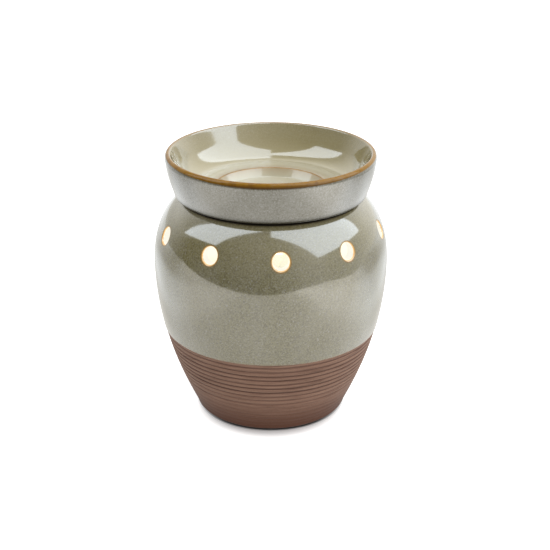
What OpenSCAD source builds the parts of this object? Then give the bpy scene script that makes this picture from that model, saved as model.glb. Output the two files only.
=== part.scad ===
// Lamp-type warmer for scented wax: a glazed stoneware jar with a ring of light
// ports, a lift-off wax dish, and a small lamp in a lampholder on the jar's floor.
// Millimetres. +Z is up, the front faces -Y, and the origin is on the table
// under the centre of the jar.

/* [Jar] */
// Outside diameter at the widest point of the belly
belly_d = 131.4; // [128:0.2:136]
// Height of the widest point above the table
belly_z = 88.6; // [85:0.2:91]
// Reach of the belly's curve towards the foot
belly_reach_low = 43.6; // [38:0.2:48]
// Reach of the belly's curve towards the mouth
belly_reach_up = 24.2; // [21:0.2:27]
// Outside diameter of the foot
foot_d = 85.6; // [83:0.2:90]
// Lean of the wall at the foot, in degrees from upright
foot_lean = 24.5; // [21:0.5:27]
// Length over which the wall keeps that lean
foot_reach = 11.5; // [8:0.5:16]
// Rounding of the foot's outer edge
foot_round = 2.2; // [1:0.1:3]
// Diameter of the hollow under the floor
hollow_d = 70; // [68:0.5:72]
// Height of that hollow above the foot
hollow_h = 12.2; // [12:0.1:15]
// Rounding at the top of that hollow
hollow_round = 1; // [0.5:0.1:1.2]
// Height of the seat that carries the dish
seat_z = 127.4; // [126:0.2:131]
// Outside diameter of the mouth's lip at the seat
lip_d = 94.4; // [90:0.2:97]
// Slope of the shoulder where it meets the lip, in degrees
lip_slope = 24; // [18:1:30]
// Length over which the shoulder keeps that slope
lip_reach = 8; // [5:0.5:11]
// Diameter of the mouth
mouth_d = 77; // [74:0.5:80]
// Rounding of the mouth's edges
mouth_round = 1.5; // [0.5:0.1:2]
// Thickness of the jar's wall
wall = 5.5; // [4.5:0.1:6.5]
// Thickness of the jar's floor
floor_t = 6; // [5:0.2:8]
// Size of the curve from the inside wall to the floor
floor_curve = 9; // [5:0.5:12]

/* [Clay grooves and glaze] */
// Number of turned grooves in the bare clay
groove_count = 15; // [6:1:15]
// Height of the lowest groove
groove_first_z = 6.5; // [6:0.1:7]
// Spacing of the grooves
groove_pitch = 2.95; // [2.4:0.05:2.95]
// Width of a groove
groove_w = 1.2; // [0.6:0.1:1.8]
// Depth of a groove
groove_depth = 0.45; // [0.2:0.05:0.8]
// Height of the line where the glaze ends
glaze_z = 50.3; // [49.6:0.1:60]
// Thickness of the glaze at that line
glaze_t = 0.3; // [0.1:0.05:0.6]

/* [Light ports] */
// Number of light ports round the shoulder
port_count = 10; // [6:1:12]
// Diameter of a light port
port_d = 9; // [6:0.5:11]
// Height of the light ports
port_z = 110.1; // [106:0.1:112]
// Turn of the first port from the front towards +X, in degrees
port_turn = 4.9; // [-15:0.1:15]

/* [Wax dish] */
// Outside diameter of the rim, before it is rounded
rim_d = 116.8; // [114:0.2:122]
// Height of the rim above the table
rim_z = 151; // [146:0.5:156]
// Outside diameter at the bottom edge, before it is rounded
dish_base_d = 105.6; // [103:0.2:108]
// Rounding of the bottom edge
dish_base_round = 2.8; // [1:0.1:3.5]
// Swell of the dish's side beyond a straight flare
dish_swell = 1.1; // [0:0.1:1.5]
// Rounding of the rim's outer edge
rim_round = 3.4; // [2.5:0.1:4]
// Rounding of the rim's inner edge
lip_round = 1.4; // [0.8:0.1:2]
// Slope of the rim where its two roundings meet, in degrees
rim_turn = 45; // [30:1:60]
// Lean of the dish's inside wall from upright, in degrees
bowl_lean = 25; // [18:1:28]
// Thickness of the dish's floor above the seat
dish_floor_t = 3.9; // [3.2:0.1:5]
// How far the curve of the dish's inside rises above its floor
dish_curve_rise = 10.7; // [8:0.1:13]
// How far the curve of the dish's inside runs along its floor
dish_curve = 10; // [8:0.5:12]
// Diameter of the well in the middle of the floor
well_d = 61.5; // [56:0.5:63]
// Depth of the well
well_depth = 4.8; // [3:0.1:6]
// How far the well's side slopes in
well_slope = 3.2; // [1:0.1:5]
// Thickness of the dish under the well
well_floor_t = 5; // [4:0.1:6]
// Rounding of the spigot's lower edge
spigot_round = 2; // [0.5:0.1:3]

/* [Base] */
// Number of foot pads
pad_count = 4; // [3:1:6]
// Diameter of a foot pad
pad_d = 6; // [4:0.2:6.2]
// Thickness of a foot pad
pad_t = 0.8; // [0.4:0.1:1.2]
// Height of the base cover's underside above the table
cover_z = 3; // [2.6:0.1:3.4]
// Thickness of the base cover
cover_t = 1.2; // [0.8:0.1:1.4]
// Mean diameter of the stiffening bead in the cover
bead_d = 39; // [32:1:44]
// Width of that bead
bead_w = 5; // [4:0.5:7]
// Height of that bead
bead_h = 0.8; // [0.4:0.1:1]
// Distance between the two cover screws
screw_pitch = 57; // [55:0.5:59]
// Thread diameter of a cover screw
screw_d = 3; // [2.5:0.1:3.5]
// Diameter of a cover screw's head
screw_head_d = 5.6; // [5:0.1:6.2]
// Height of a cover screw's head
screw_head_h = 1.7; // [1.2:0.1:2]
// Width of a screw's slot
slot_w = 0.8; // [0.5:0.1:1]
// Depth of a screw's slot
slot_depth = 0.7; // [0.4:0.1:0.9]
// Thickness of the bracket's strap
strap_t = 1.2; // [1:0.1:1.5]
// Width of the bracket's strap
strap_w = 14; // [12:0.5:18]
// Distance between the outsides of the bracket's legs
strap_span = 47; // [44:0.5:48]
// Length of the bracket's tab beyond a screw's centre
tab_margin = 4; // [3:0.2:4.4]
// Width of the cord notch at the back of the foot
notch_w = 11; // [10:0.2:13]
// Height of the cord notch above the foot
notch_h = 11.2; // [10.4:0.1:11.6]
// Bore of the cord bushing
cord_bore_d = 5.4; // [4.4:0.1:5.8]
// Distance from the axis to the cord bushing's outer face
bushing_y = 42.4; // [41:0.1:44]
// Width of the cord bushing's inner flange
flange_w = 15; // [14:0.2:18]
// Thickness of that flange
flange_t = 1.5; // [1:0.1:2]

/* [Nipple and washers] */
// Thread diameter of the hollow nipple
nipple_d = 10; // [9:0.1:10.5]
// Bore of the nipple
nipple_bore_d = 7.2; // [6:0.1:8]
// Length of the nipple inside the lampholder
nipple_grip = 4.6; // [4:0.1:5]
// Length of the nipple below its nut
nipple_tail = 1; // [0.5:0.1:1]
// Outside diameter of the gaskets
gasket_d = 23; // [20:0.5:26]
// Thickness of a gasket
gasket_t = 1.3; // [1:0.1:1.5]
// Outside diameter of the lock washer
lock_washer_d = 18; // [16:0.5:20]
// Thickness of the lock washer
lock_washer_t = 0.8; // [0.5:0.1:1]
// Number of teeth on the lock washer
lock_tooth_count = 10; // [6:1:14]
// Width of the gaps between those teeth
lock_gap_w = 1.4; // [0.8:0.1:1.8]
// Depth of those gaps
lock_gap_depth = 2; // [1:0.1:2.4]
// Width across the nut's flats
nut_af = 14; // [13:0.5:17]
// Thickness of the nut
nut_t = 3; // [2.5:0.1:3]

/* [Lampholder] */
// Outside diameter of the lampholder
holder_d = 27; // [26:0.2:30]
// Height of the dome up to its neck
dome_h = 12; // [11:0.2:14]
// Thickness of the dome's bottom
dome_floor_t = 5; // [5:0.1:6]
// Bevel of the dome's lower edge
dome_bevel = 3; // [1:0.2:4]
// Outside diameter of the dome's neck
neck_d = 22.6; // [22:0.1:23.4]
// Height of the dome's neck
neck_h = 6; // [5:0.1:7]
// Bore of the dome
dome_bore_d = 18.8; // [18.4:0.1:19.4]
// Height of the insert above the neck
insert_rim_h = 2.4; // [2:0.1:3]
// Depth of the insert inside the neck
insert_depth = 7.2; // [6.6:0.1:8]
// Bore of the barrel round the screw shell
barrel_bore_d = 18.8; // [17:0.1:19.4]
// Height of the barrel above the insert
barrel_h = 17.4; // [17:0.1:18]
// Rounding of the barrel's top edge
barrel_round = 1.6; // [0.5:0.1:2]
// Thickness of the screw shell's sheet
shell_t = 0.4; // [0.3:0.05:0.5]
// Height of the screw shell
shell_h = 15.9; // [15:0.1:16.5]
// Diameter of the hole in the screw shell's bottom
shell_hole_d = 8; // [7.8:0.1:8.2]
// Height of the centre contact above the insert
contact_h = 2.2; // [1.8:0.1:2.6]
// Width of the centre contact's strip
contact_w = 3.2; // [2.6:0.1:3.4]
// Thickness of the centre contact's strip
contact_t = 0.5; // [0.3:0.1:0.6]
// Diameter of a rivet's shank
rivet_d = 1.4; // [1:0.1:1.6]
// Diameter of a rivet's head
rivet_head_d = 1.8; // [1.7:0.1:2]
// Height of a rivet's head
rivet_head_h = 0.5; // [0.3:0.1:0.6]
// Thickness of a terminal plate
terminal_t = 0.8; // [0.6:0.1:1]
// Thread diameter of a terminal screw
terminal_d = 2.4; // [2:0.1:2.6]
// Length of a terminal screw inside the insert
terminal_grip = 4; // [3:0.1:5]
// Diameter of a terminal screw's head
terminal_head_d = 3.8; // [3.4:0.1:4]
// Height of a terminal screw's head
terminal_head_h = 1.4; // [1.2:0.1:1.6]

/* [Lamp] */
// Diameter of the lamp's glass
lamp_d = 28; // [24:0.5:32]
// Overall length of the lamp
lamp_h = 63; // [60:0.5:66]
// Length of the glass that runs straight below its rounded top
lamp_straight = 13; // [10:0.5:16]
// Thickness of the glass
glass_t = 0.8; // [0.5:0.1:1]
// Diameter of the glass neck inside the cap
lamp_neck_d = 11; // [10:0.1:11.2]
// Outside diameter of the lamp cap's thread
thread_d = 13.88; // [13.8:0.02:13.96]
// Depth of that thread
thread_depth = 0.8; // [0.7:0.02:0.84]
// Pitch of that thread
thread_pitch = 2.82; // [2.7:0.02:2.9]
// Length of the cap's threaded part
cap_thread_h = 12.2; // [11.6:0.2:12.8]
// Height of the cap's flared skirt
skirt_h = 3.4; // [3:0.1:4]
// Diameter of the cap's skirt
skirt_d = 16; // [15.4:0.1:16.6]
// Diameter of the opening in the cap's bottom
cap_hole_d = 10.8; // [10:0.1:11]
// Height of the insulator between the tip and the cap
insulator_h = 2.8; // [2.4:0.1:3.2]
// Diameter of the insulator's lower face
insulator_tip_d = 6; // [5.4:0.1:6.6]
// Diameter of the lamp's tip contact
tip_d = 4.8; // [4:0.1:5.2]
// Height of the lamp's tip contact
tip_h = 0.8; // [0.6:0.1:1]
// Diameter of the glass stem
stem_d = 4.6; // [4:0.1:5]
// Height of the stem's tube
stem_h = 18; // [16:0.5:20]
// Width of the stem's pinch
pinch_w = 6; // [5:0.1:7]
// Thickness of the stem's pinch
pinch_t = 2.4; // [2:0.1:2.8]
// Height of the stem's pinch
pinch_h = 6; // [5:0.1:7]
// Diameter of a lead wire
lead_d = 0.7; // [0.5:0.1:0.9]
// Distance between the lead wires at the pinch
lead_gap = 3.6; // [3:0.1:4]
// Height of the lead wires above the pinch
lead_h = 12; // [10:0.5:14]
// Length of the filament
filament_l = 17; // [14:0.5:19]
// Diameter of the filament's coil
filament_d = 0.9; // [0.6:0.1:1.1]

/* [Clearances] */
// Gap between the dish's spigot and the mouth, all round
spigot_gap = 1.5; // [0.8:0.1:2]
// Gap between the base cover and the hollow, all round
cover_gap = 0.4; // [0.2:0.1:0.8]
// Gap between the cord bushing and its notch, on each side
bushing_gap = 0.2; // [0.1:0.05:0.4]
// Gap between the bushing's flange and the cover below it
flange_gap = 0.3; // [0.2:0.1:0.5]
// Radial gap of a thread or a rivet in its hole
thread_gap = 0.05; // [0.03:0.01:0.1]
// Radial gap of a screw or the nipple in a clearance hole
hole_gap = 0.3; // [0.2:0.05:0.5]
// Radial gap between the lamp cap's thread and the screw shell's thread
lamp_gap = 0.25; // [0.22:0.01:0.3]
// Radial gap between the dome's neck and what fits in or over it
neck_gap = 0.2; // [0.1:0.05:0.3]
// Gap between the cap's sheet and the insulator or glass inside it
cap_gap = 0.1; // [0.05:0.05:0.2]

/* [Hidden] */
$fn = 96;

// Colours of the finishes
glaze_colour = "#8c8a79";
clay_colour = "#77604f";
porcelain_colour = "#ece9e0";
steel_colour = "#a9acb0";
brass_colour = "#c2a14f";
rubber_colour = "#33312f";
glass_colour = "#dfe6e6";

// Steps along a curve, and over-length of a cutting tool
curve_steps = 10;
corner_steps = 5;
cut = 1;

// Jar: control points of the outside curves, and heights of the floor
foot_z = pad_t;
foot_r = foot_d / 2;
belly_r = belly_d / 2;
lip_r = lip_d / 2;
mouth_r = mouth_d / 2;
hollow_r = hollow_d / 2;
lower_curve = [
    [foot_r, foot_z],
    [foot_r + foot_reach * sin(foot_lean), foot_z + foot_reach * cos(foot_lean)],
    [belly_r, belly_z - belly_reach_low],
    [belly_r, belly_z]
];
upper_curve = [
    [belly_r, belly_z],
    [belly_r, belly_z + belly_reach_up],
    [lip_r + lip_reach * cos(lip_slope), seat_z - lip_reach * sin(lip_slope)],
    [lip_r, seat_z]
];
floor_under_z = foot_z + hollow_h;
floor_z = floor_under_z + floor_t;
foot_tangent = foot_round * tan((90 - foot_lean) / 2);
foot_flat_r = foot_r - foot_tangent;
pad_ring_r = (hollow_r + foot_flat_r) / 2;

// Dish: heights and radii that follow from the seat and the mouth
dish_floor_z = seat_z + dish_floor_t;
well_z = dish_floor_z - well_depth;
spigot_z = well_z - well_floor_t;
spigot_r = mouth_r - spigot_gap;

// Base: the stack that hangs under the floor
cover_top_z = cover_z + cover_t;
cover_r = hollow_r - cover_gap;
strap_top_z = floor_under_z - gasket_t;
strap_under_z = strap_top_z - strap_t;
lock_under_z = strap_under_z - lock_washer_t;
nut_under_z = lock_under_z - nut_t;
nipple_low_z = nut_under_z - nipple_tail;
nipple_r = nipple_d / 2;
nipple_hole_r = nipple_r + hole_gap;
nipple_thread_r = nipple_r + thread_gap;
tab_end = screw_pitch / 2 + tab_margin;
bushing_top_z = foot_z + notch_h - bushing_gap;
flange_low_z = cover_top_z + flange_gap;
flange_top_z = floor_under_z - hollow_round - bushing_gap;
cord_z = (flange_low_z + bushing_top_z) / 2;
flange_y = sqrt(hollow_r ^ 2 - (flange_w / 2) ^ 2);
bushing_y0 = flange_y - flange_t;

// Lampholder: the stack that stands on the floor
dome_z = floor_z + gasket_t;
dome_shoulder_z = dome_z + dome_h;
neck_top_z = dome_shoulder_z + neck_h;
insert_under_z = neck_top_z - insert_depth;
insert_top_z = neck_top_z + insert_rim_h;
barrel_top_z = insert_top_z + barrel_h;
shell_top_z = insert_top_z + shell_h;
terminal_under_z = insert_under_z - terminal_t;
neck_r = neck_d / 2;
dome_bore_r = dome_bore_d / 2;
insert_r = dome_bore_r - neck_gap;
rivet_r = rivet_d / 2;
contact_top_z = insert_top_z + contact_h;
contact_reach = sqrt((shell_hole_d / 2 - neck_gap) ^ 2 - (contact_w / 2) ^ 2);
contact_rivet = [-(contact_reach - rivet_head_d / 2 - cap_gap), 0];
shell_rivet_r = shell_hole_d / 2 + rivet_head_d / 2 + neck_gap;
shell_rivet_turn = -55;
shell_rivet = shell_rivet_r * [cos(shell_rivet_turn), sin(shell_rivet_turn)];
terminal_edge = 1.3;
terminal_low = [
    [contact_rivet[0] - terminal_head_d - rivet_head_d, -terminal_head_d / 2 - terminal_edge / 2],
    [shell_rivet[0] - terminal_edge, shell_rivet[1] - terminal_edge]
];
terminal_high = [
    [contact_rivet[0] + terminal_edge, terminal_head_d / 2 + terminal_edge / 2],
    [shell_rivet[0] + terminal_head_d, terminal_head_d / 2 + terminal_edge]
];
terminal_spot = [
    [contact_rivet[0] - terminal_head_d / 2 - rivet_head_d / 2 - neck_gap, 0],
    [shell_rivet[0] + terminal_head_d / 2, terminal_edge / 2]
];
rivet_spot = [contact_rivet, shell_rivet];
rivet_top = [insert_top_z + contact_t, insert_top_z + shell_t];

// Lamp: heights above the contact, and the thread's mean radii
tip_top_z = contact_top_z + tip_h;
cap_z = tip_top_z + insulator_h;
cap_thread_top_z = cap_z + cap_thread_h;
cap_top_z = cap_thread_top_z + skirt_h;
lamp_top_z = contact_top_z + lamp_h;
lamp_r = lamp_d / 2;
lamp_neck_r = lamp_neck_d / 2;
thread_wave = thread_depth / 2;
cap_mean_r = thread_d / 2 - thread_wave;
shell_mean_r = cap_mean_r + lamp_gap;
shell_outer_r = shell_mean_r + thread_wave + shell_t;
cap_bore_r = cap_mean_r - thread_wave - shell_t;
thread_sides = 24;
thread_rows = 6;
row_h = thread_pitch / thread_rows;
neck_low_z = cap_z + cap_thread_h / 2;
skirt_bore_r = skirt_d / 2 - shell_t;
glass_seat_r = skirt_bore_r - cap_gap;
lamp_shoulder_z = lamp_top_z - lamp_r - lamp_straight;
stem_top_z = neck_low_z + glass_t + stem_h;
pinch_top_z = stem_top_z + pinch_h;
lead_top_z = pinch_top_z + lead_h;
lead_half = filament_l / 2 - filament_d;

// Points on a circle round c from angle a0 to angle a1
function arc(c, r, a0, a1, n = corner_steps) =
    [for (i = [0:n]) let (a = a0 + (a1 - a0) * i / n) c + r * [cos(a), sin(a)]];

// Point, direction and inside point at a wall's thickness on a cubic curve
function cubic(p, t) =
    (1 - t) ^ 3 * p[0] + 3 * (1 - t) ^ 2 * t * p[1] + 3 * (1 - t) * t ^ 2 * p[2] + t ^ 3 * p[3];
function cubic_way(p, t) =
    let (d = (1 - t) ^ 2 * (p[1] - p[0]) + 2 * (1 - t) * t * (p[2] - p[1]) + t ^ 2 * (p[3] - p[2]))
    d / norm(d);
function cubic_inside(p, t, w) =
    let (d = cubic_way(p, t)) cubic(p, t) + w * [-d[1], d[0]];

// Place along a rising cubic curve where it, or its inside at depth w, reaches height z
function cubic_at(p, z, w = 0, low = 0, high = 1, n = 30) =
    let (m = (low + high) / 2)
    n == 0 ? m
    : cubic_inside(p, m, w)[1] < z ? cubic_at(p, z, w, m, high, n - 1)
    : cubic_at(p, z, w, low, m, n - 1);
function lower_r(z) = cubic(lower_curve, cubic_at(lower_curve, z))[0];

// Points from a to b bending towards the corner c
function bend(a, c, b, n = corner_steps) =
    [for (i = [0:n]) let (t = i / n) (1 - t) ^ 2 * a + 2 * (1 - t) * t * c + t ^ 2 * b];

// Outside radius of the dish's side at a height
function dish_r(z) =
    let (u = (z - seat_z) / (rim_z - seat_z))
    dish_base_d / 2 + (rim_d - dish_base_d) / 2 * u + dish_swell * 4 * u * (1 - u);

// Lean of the dish's side from upright at a height
function dish_lean(z) =
    let (rise = rim_z - seat_z, u = (z - seat_z) / rise)
    atan(((rim_d - dish_base_d) / 2 + dish_swell * 4 * (1 - 2 * u)) / rise);

// Jar: outside from the foot to the lip, with the clay's grooves
function jar_outside() =
    let (
        clay_inset = glaze_t,
        foot_c = [foot_flat_r, foot_z + foot_round],
        glaze_top_z = glaze_z + glaze_t,
        t0 = cubic_at(lower_curve, glaze_top_z)
    )
    concat(
        arc(foot_c, foot_round, -90, -foot_lean),
        [for (i = [0:groove_count - 1]) let (z = groove_first_z + i * groove_pitch)
            each [
                [lower_r(z - groove_w / 2) - clay_inset, z - groove_w / 2],
                [lower_r(z) - clay_inset - groove_depth, z],
                [lower_r(z + groove_w / 2) - clay_inset, z + groove_w / 2]
            ]],
        [[lower_r(glaze_z) - clay_inset, glaze_z]],
        [for (i = [0:curve_steps - 1]) cubic(lower_curve, t0 + (1 - t0) * i / curve_steps)],
        [for (i = [0:curve_steps]) cubic(upper_curve, i / curve_steps)]
    );

// Jar: inside from the mouth down to the floor
function jar_inside() =
    let (
        lip_under = cubic_inside(upper_curve, 1, wall),
        curve_top_z = floor_z + floor_curve,
        t0 = cubic_at(lower_curve, curve_top_z, wall),
        start = cubic_inside(lower_curve, t0, wall),
        corner = [start[0] - floor_curve * tan(foot_lean), floor_z]
    )
    concat(
        arc([mouth_r + mouth_round, seat_z - mouth_round], mouth_round, 90, 180),
        arc([mouth_r + mouth_round, lip_under[1] + mouth_round], mouth_round, 180, 270),
        [for (i = [curve_steps:-1:0]) cubic_inside(upper_curve, i / curve_steps, wall)],
        [for (i = [curve_steps - 1:-1:1])
            cubic_inside(lower_curve, t0 + (1 - t0) * i / curve_steps, wall)],
        bend(start, corner, [corner[0] - floor_curve, floor_z])
    );

// Jar: floor hole and the hollow under the floor
function jar_under() =
    concat(
        [[nipple_hole_r, floor_z], [nipple_hole_r, floor_under_z]],
        arc([hollow_r - hollow_round, floor_under_z - hollow_round], hollow_round, 90, 0),
        [[hollow_r, foot_z]]
    );

module jar_body() {
    color(glaze_colour)
    difference() {
        rotate_extrude() polygon(concat(jar_outside(), jar_inside(), jar_under()));
        for (i = [0:port_count - 1])
            rotate([0, 0, port_turn + i * 360 / port_count])
            translate([0, 0, port_z])
            rotate([90, 0, 0])
            translate([0, 0, mouth_r])
            cylinder(d = port_d, h = belly_r);
        translate([-notch_w / 2, hollow_r - wall, foot_z - cut])
        cube([notch_w, belly_r, notch_h + cut]);
    }
}

module wax_dish() {
    side_low_z = seat_z + dish_base_round;
    base_c = [dish_r(side_low_z) - dish_base_round, side_low_z];
    lip_step = (rim_round - lip_round) * [cos(rim_turn), sin(rim_turn)];
    side_top_z = rim_z - lip_round - lip_step[1];
    rim_c = [dish_r(side_top_z) - rim_round, side_top_z];
    lip_c = rim_c + lip_step;
    bowl_top = lip_c + lip_round * [-cos(bowl_lean), sin(bowl_lean)];
    bowl_corner = [bowl_top[0] - (bowl_top[1] - dish_floor_z) * tan(bowl_lean), dish_floor_z];
    wall_end = bowl_corner + dish_curve_rise * [tan(bowl_lean), 1];
    well_top_r = well_d / 2;
    color(glaze_colour)
    rotate_extrude()
    polygon(concat(
        [[0, spigot_z]],
        arc([spigot_r - spigot_round, spigot_z + spigot_round], spigot_round, -90, 0),
        [[spigot_r, seat_z]],
        arc(base_c, dish_base_round, -90, -dish_lean(side_low_z)),
        [for (i = [1:corner_steps - 1])
            let (z = side_low_z + (side_top_z - side_low_z) * i / corner_steps) [dish_r(z), z]],
        arc(rim_c, rim_round, -dish_lean(side_top_z), rim_turn),
        arc(lip_c, lip_round, rim_turn, 180 - bowl_lean),
        bend(wall_end, bowl_corner, [bowl_corner[0] - dish_curve, dish_floor_z], curve_steps),
        [[well_top_r, dish_floor_z], [well_top_r - well_slope, well_z], [0, well_z]]
    ));
}

module foot_pads() {
    color(rubber_colour)
    for (i = [0:pad_count - 1])
        rotate([0, 0, (i + 0.5) * 360 / pad_count])
        translate([pad_ring_r, 0, 0])
        cylinder(d = pad_d, h = pad_t);
}

module base_cover() {
    ridge = [bead_d / 2 - bead_w / 2, bead_d / 2 + bead_w / 2];
    color(rubber_colour)
    difference() {
        rotate_extrude()
        polygon([
            [0, cover_z], [ridge[0], cover_z], [ridge[0] + bead_h, cover_z + bead_h],
            [ridge[1] - bead_h, cover_z + bead_h], [ridge[1], cover_z], [cover_r, cover_z],
            [cover_r, cover_top_z], [ridge[1], cover_top_z],
            [ridge[1] - bead_h, cover_top_z + bead_h], [ridge[0] + bead_h, cover_top_z + bead_h],
            [ridge[0], cover_top_z], [0, cover_top_z]
        ]);
        for (side = [-1, 1])
            translate([side * screw_pitch / 2, 0, cover_z - cut])
            cylinder(r = screw_d / 2 + hole_gap, h = cover_t + 2 * cut);
    }
}

module cover_screws() {
    color(steel_colour)
    for (side = [-1, 1])
        translate([side * screw_pitch / 2, 0, 0])
        difference() {
            union() {
                translate([0, 0, cover_z - screw_head_h])
                cylinder(d = screw_head_d, h = screw_head_h);
                translate([0, 0, cover_z])
                cylinder(d = screw_d, h = cover_t + 2 * strap_t);
            }
            translate([-screw_head_d / 2 - cut, -slot_w / 2, cover_z - screw_head_h - cut])
            cube([screw_head_d + 2 * cut, slot_w, slot_depth + cut]);
        }
}

// Half of the bracket's side view, from its bridge out to the end of its tab and back
function strap_half() =
    let (
        leg = strap_span / 2,
        top_c = [leg - 2 * strap_t, strap_top_z - 2 * strap_t],
        low_c = [leg + strap_t, cover_top_z + 2 * strap_t]
    )
    concat(
        arc(top_c, 2 * strap_t, 90, 0),
        arc(low_c, strap_t, 180, 270),
        [[tab_end, cover_top_z + strap_t], [tab_end, cover_top_z]],
        arc(low_c, 2 * strap_t, 270, 180),
        arc(top_c, strap_t, 0, 90)
    );

module cover_bracket() {
    half = strap_half();
    other_half = [for (i = [len(half) - 1:-1:0]) [-half[i][0], half[i][1]]];
    color(steel_colour)
    difference() {
        rotate([90, 0, 0])
        linear_extrude(height = strap_w, center = true)
        polygon(concat(half, other_half));
        translate([0, 0, strap_under_z - cut])
        cylinder(r = nipple_hole_r, h = strap_t + 2 * cut);
        for (side = [-1, 1])
            translate([side * screw_pitch / 2, 0, cover_top_z - cut])
            cylinder(r = screw_d / 2 + thread_gap, h = strap_t + 2 * cut);
    }
}

module cord_bushing() {
    body_w = notch_w - 2 * bushing_gap;
    body_y0 = cover_r + flange_gap;
    color(rubber_colour)
    difference() {
        union() {
            translate([-body_w / 2, body_y0, foot_z])
            cube([body_w, bushing_y - body_y0, bushing_top_z - foot_z]);
            translate([-body_w / 2, flange_y, flange_low_z])
            cube([body_w, bushing_y - flange_y, bushing_top_z - flange_low_z]);
            translate([-flange_w / 2, bushing_y0, flange_low_z])
            cube([flange_w, flange_t, flange_top_z - flange_low_z]);
        }
        translate([0, bushing_y0 - cut, cord_z])
        rotate([-90, 0, 0])
        cylinder(d = cord_bore_d, h = bushing_y - bushing_y0 + 2 * cut);
    }
}

// Ring from height z0 to height z1
module ring(r_in, r_out, z0, z1) {
    translate([0, 0, z0])
    difference() {
        cylinder(r = r_out, h = z1 - z0);
        translate([0, 0, -cut]) cylinder(r = r_in, h = z1 - z0 + 2 * cut);
    }
}

module nipple() {
    color(steel_colour) ring(nipple_bore_d / 2, nipple_r, nipple_low_z, dome_z + nipple_grip);
}

module lower_gasket() {
    color(rubber_colour) ring(nipple_hole_r, gasket_d / 2, strap_top_z, floor_under_z);
}

module upper_gasket() {
    color(rubber_colour) ring(nipple_hole_r, gasket_d / 2, floor_z, dome_z);
}

module lock_washer() {
    color(steel_colour)
    difference() {
        ring(nipple_hole_r, lock_washer_d / 2, lock_under_z, strap_under_z);
        for (i = [0:lock_tooth_count - 1])
            rotate([0, 0, i * 360 / lock_tooth_count])
            translate([lock_washer_d / 2 - lock_gap_depth, -lock_gap_w / 2, lock_under_z - cut])
            cube([lock_gap_depth + cut, lock_gap_w, lock_washer_t + 2 * cut]);
    }
}

module nipple_nut() {
    color(brass_colour)
    translate([0, 0, nut_under_z])
    difference() {
        cylinder(r = nut_af / 2 / cos(30), h = nut_t, $fn = 6);
        translate([0, 0, -cut]) cylinder(r = nipple_thread_r, h = nut_t + 2 * cut);
    }
}

module lampholder_dome() {
    color(porcelain_colour)
    rotate_extrude()
    polygon([
        [nipple_thread_r, dome_z], [holder_d / 2 - dome_bevel, dome_z],
        [holder_d / 2, dome_z + dome_bevel], [holder_d / 2, dome_shoulder_z],
        [neck_r, dome_shoulder_z], [neck_r, neck_top_z], [dome_bore_r, neck_top_z],
        [dome_bore_r, dome_z + dome_floor_t], [nipple_thread_r, dome_z + dome_floor_t]
    ]);
}

module lampholder_insert() {
    color(porcelain_colour)
    difference() {
        rotate_extrude()
        polygon([
            [0, insert_under_z], [insert_r, insert_under_z], [insert_r, neck_top_z],
            [neck_r, neck_top_z], [neck_r, insert_top_z], [0, insert_top_z]
        ]);
        for (spot = rivet_spot)
            rivet_hole(spot, insert_under_z, insert_top_z - insert_under_z);
        for (spot = terminal_spot)
            translate([spot[0], spot[1], insert_under_z - cut])
            cylinder(r = terminal_d / 2 + thread_gap, h = terminal_grip + cut);
    }
}

module lampholder_barrel() {
    outer = holder_d / 2;
    bore = barrel_bore_d / 2;
    color(porcelain_colour)
    rotate_extrude()
    polygon(concat(
        [[neck_r + neck_gap, dome_shoulder_z], [outer, dome_shoulder_z]],
        arc([outer - barrel_round, barrel_top_z - barrel_round], barrel_round, 0, 90),
        [[bore, barrel_top_z], [bore, insert_top_z], [neck_r + neck_gap, insert_top_z]]
    ));
}

// Hole for a rivet through a sheet of thickness t that lies on height z
module rivet_hole(spot, z, t) {
    translate([spot[0], spot[1], z - cut])
    cylinder(r = rivet_r + thread_gap, h = t + 2 * cut);
}

// Solid whose rows of points run round the axis, closed along the path too
module wound_rows(path) {
    n = thread_sides;
    m = len(path);
    points = [for (p = path) for (k = [0:n - 1])
        let (a = k * 360 / n, r = p[0] + p[2] * cos(360 * p[1] / thread_pitch - a))
        [r * cos(a), r * sin(a), p[1]]];
    faces = [for (i = [0:m - 1]) for (k = [0:n - 1])
        let (i1 = (i + 1) % m, k1 = (k + 1) % n)
        each [
            [i * n + k, i1 * n + k, i1 * n + k1],
            [i * n + k, i1 * n + k1, i * n + k1]
        ]];
    polyhedron(points = points, faces = faces, convexity = 8);
}

// Rows of a thread from z0 to z1 that runs out over half a pitch at each end,
// outwards on an inside thread (out = 1) and inwards on an outside one (out = -1)
function thread_path(mean, z0, z1, out) =
    let (count = floor((z1 - z0) / row_h))
    [for (i = [0:count])
        let (z = z0 + (z1 - z0) * i / count, ease = min(1, 2 * min(z - z0, z1 - z) / thread_pitch))
        [mean + out * thread_wave * (1 - ease), z, thread_wave * ease]];

module screw_shell() {
    inner = thread_path(shell_mean_r, insert_top_z + shell_t, shell_top_z, 1);
    color(brass_colour)
    difference() {
        wound_rows(concat(
            [[shell_hole_d / 2, insert_top_z, 0], [shell_outer_r, insert_top_z, 0],
                [shell_outer_r, shell_top_z, 0]],
            [for (i = [len(inner) - 1:-1:0]) inner[i]],
            [[shell_hole_d / 2, insert_top_z + shell_t, 0]]
        ));
        rivet_hole(shell_rivet, insert_top_z, shell_t);
    }
}

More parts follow.
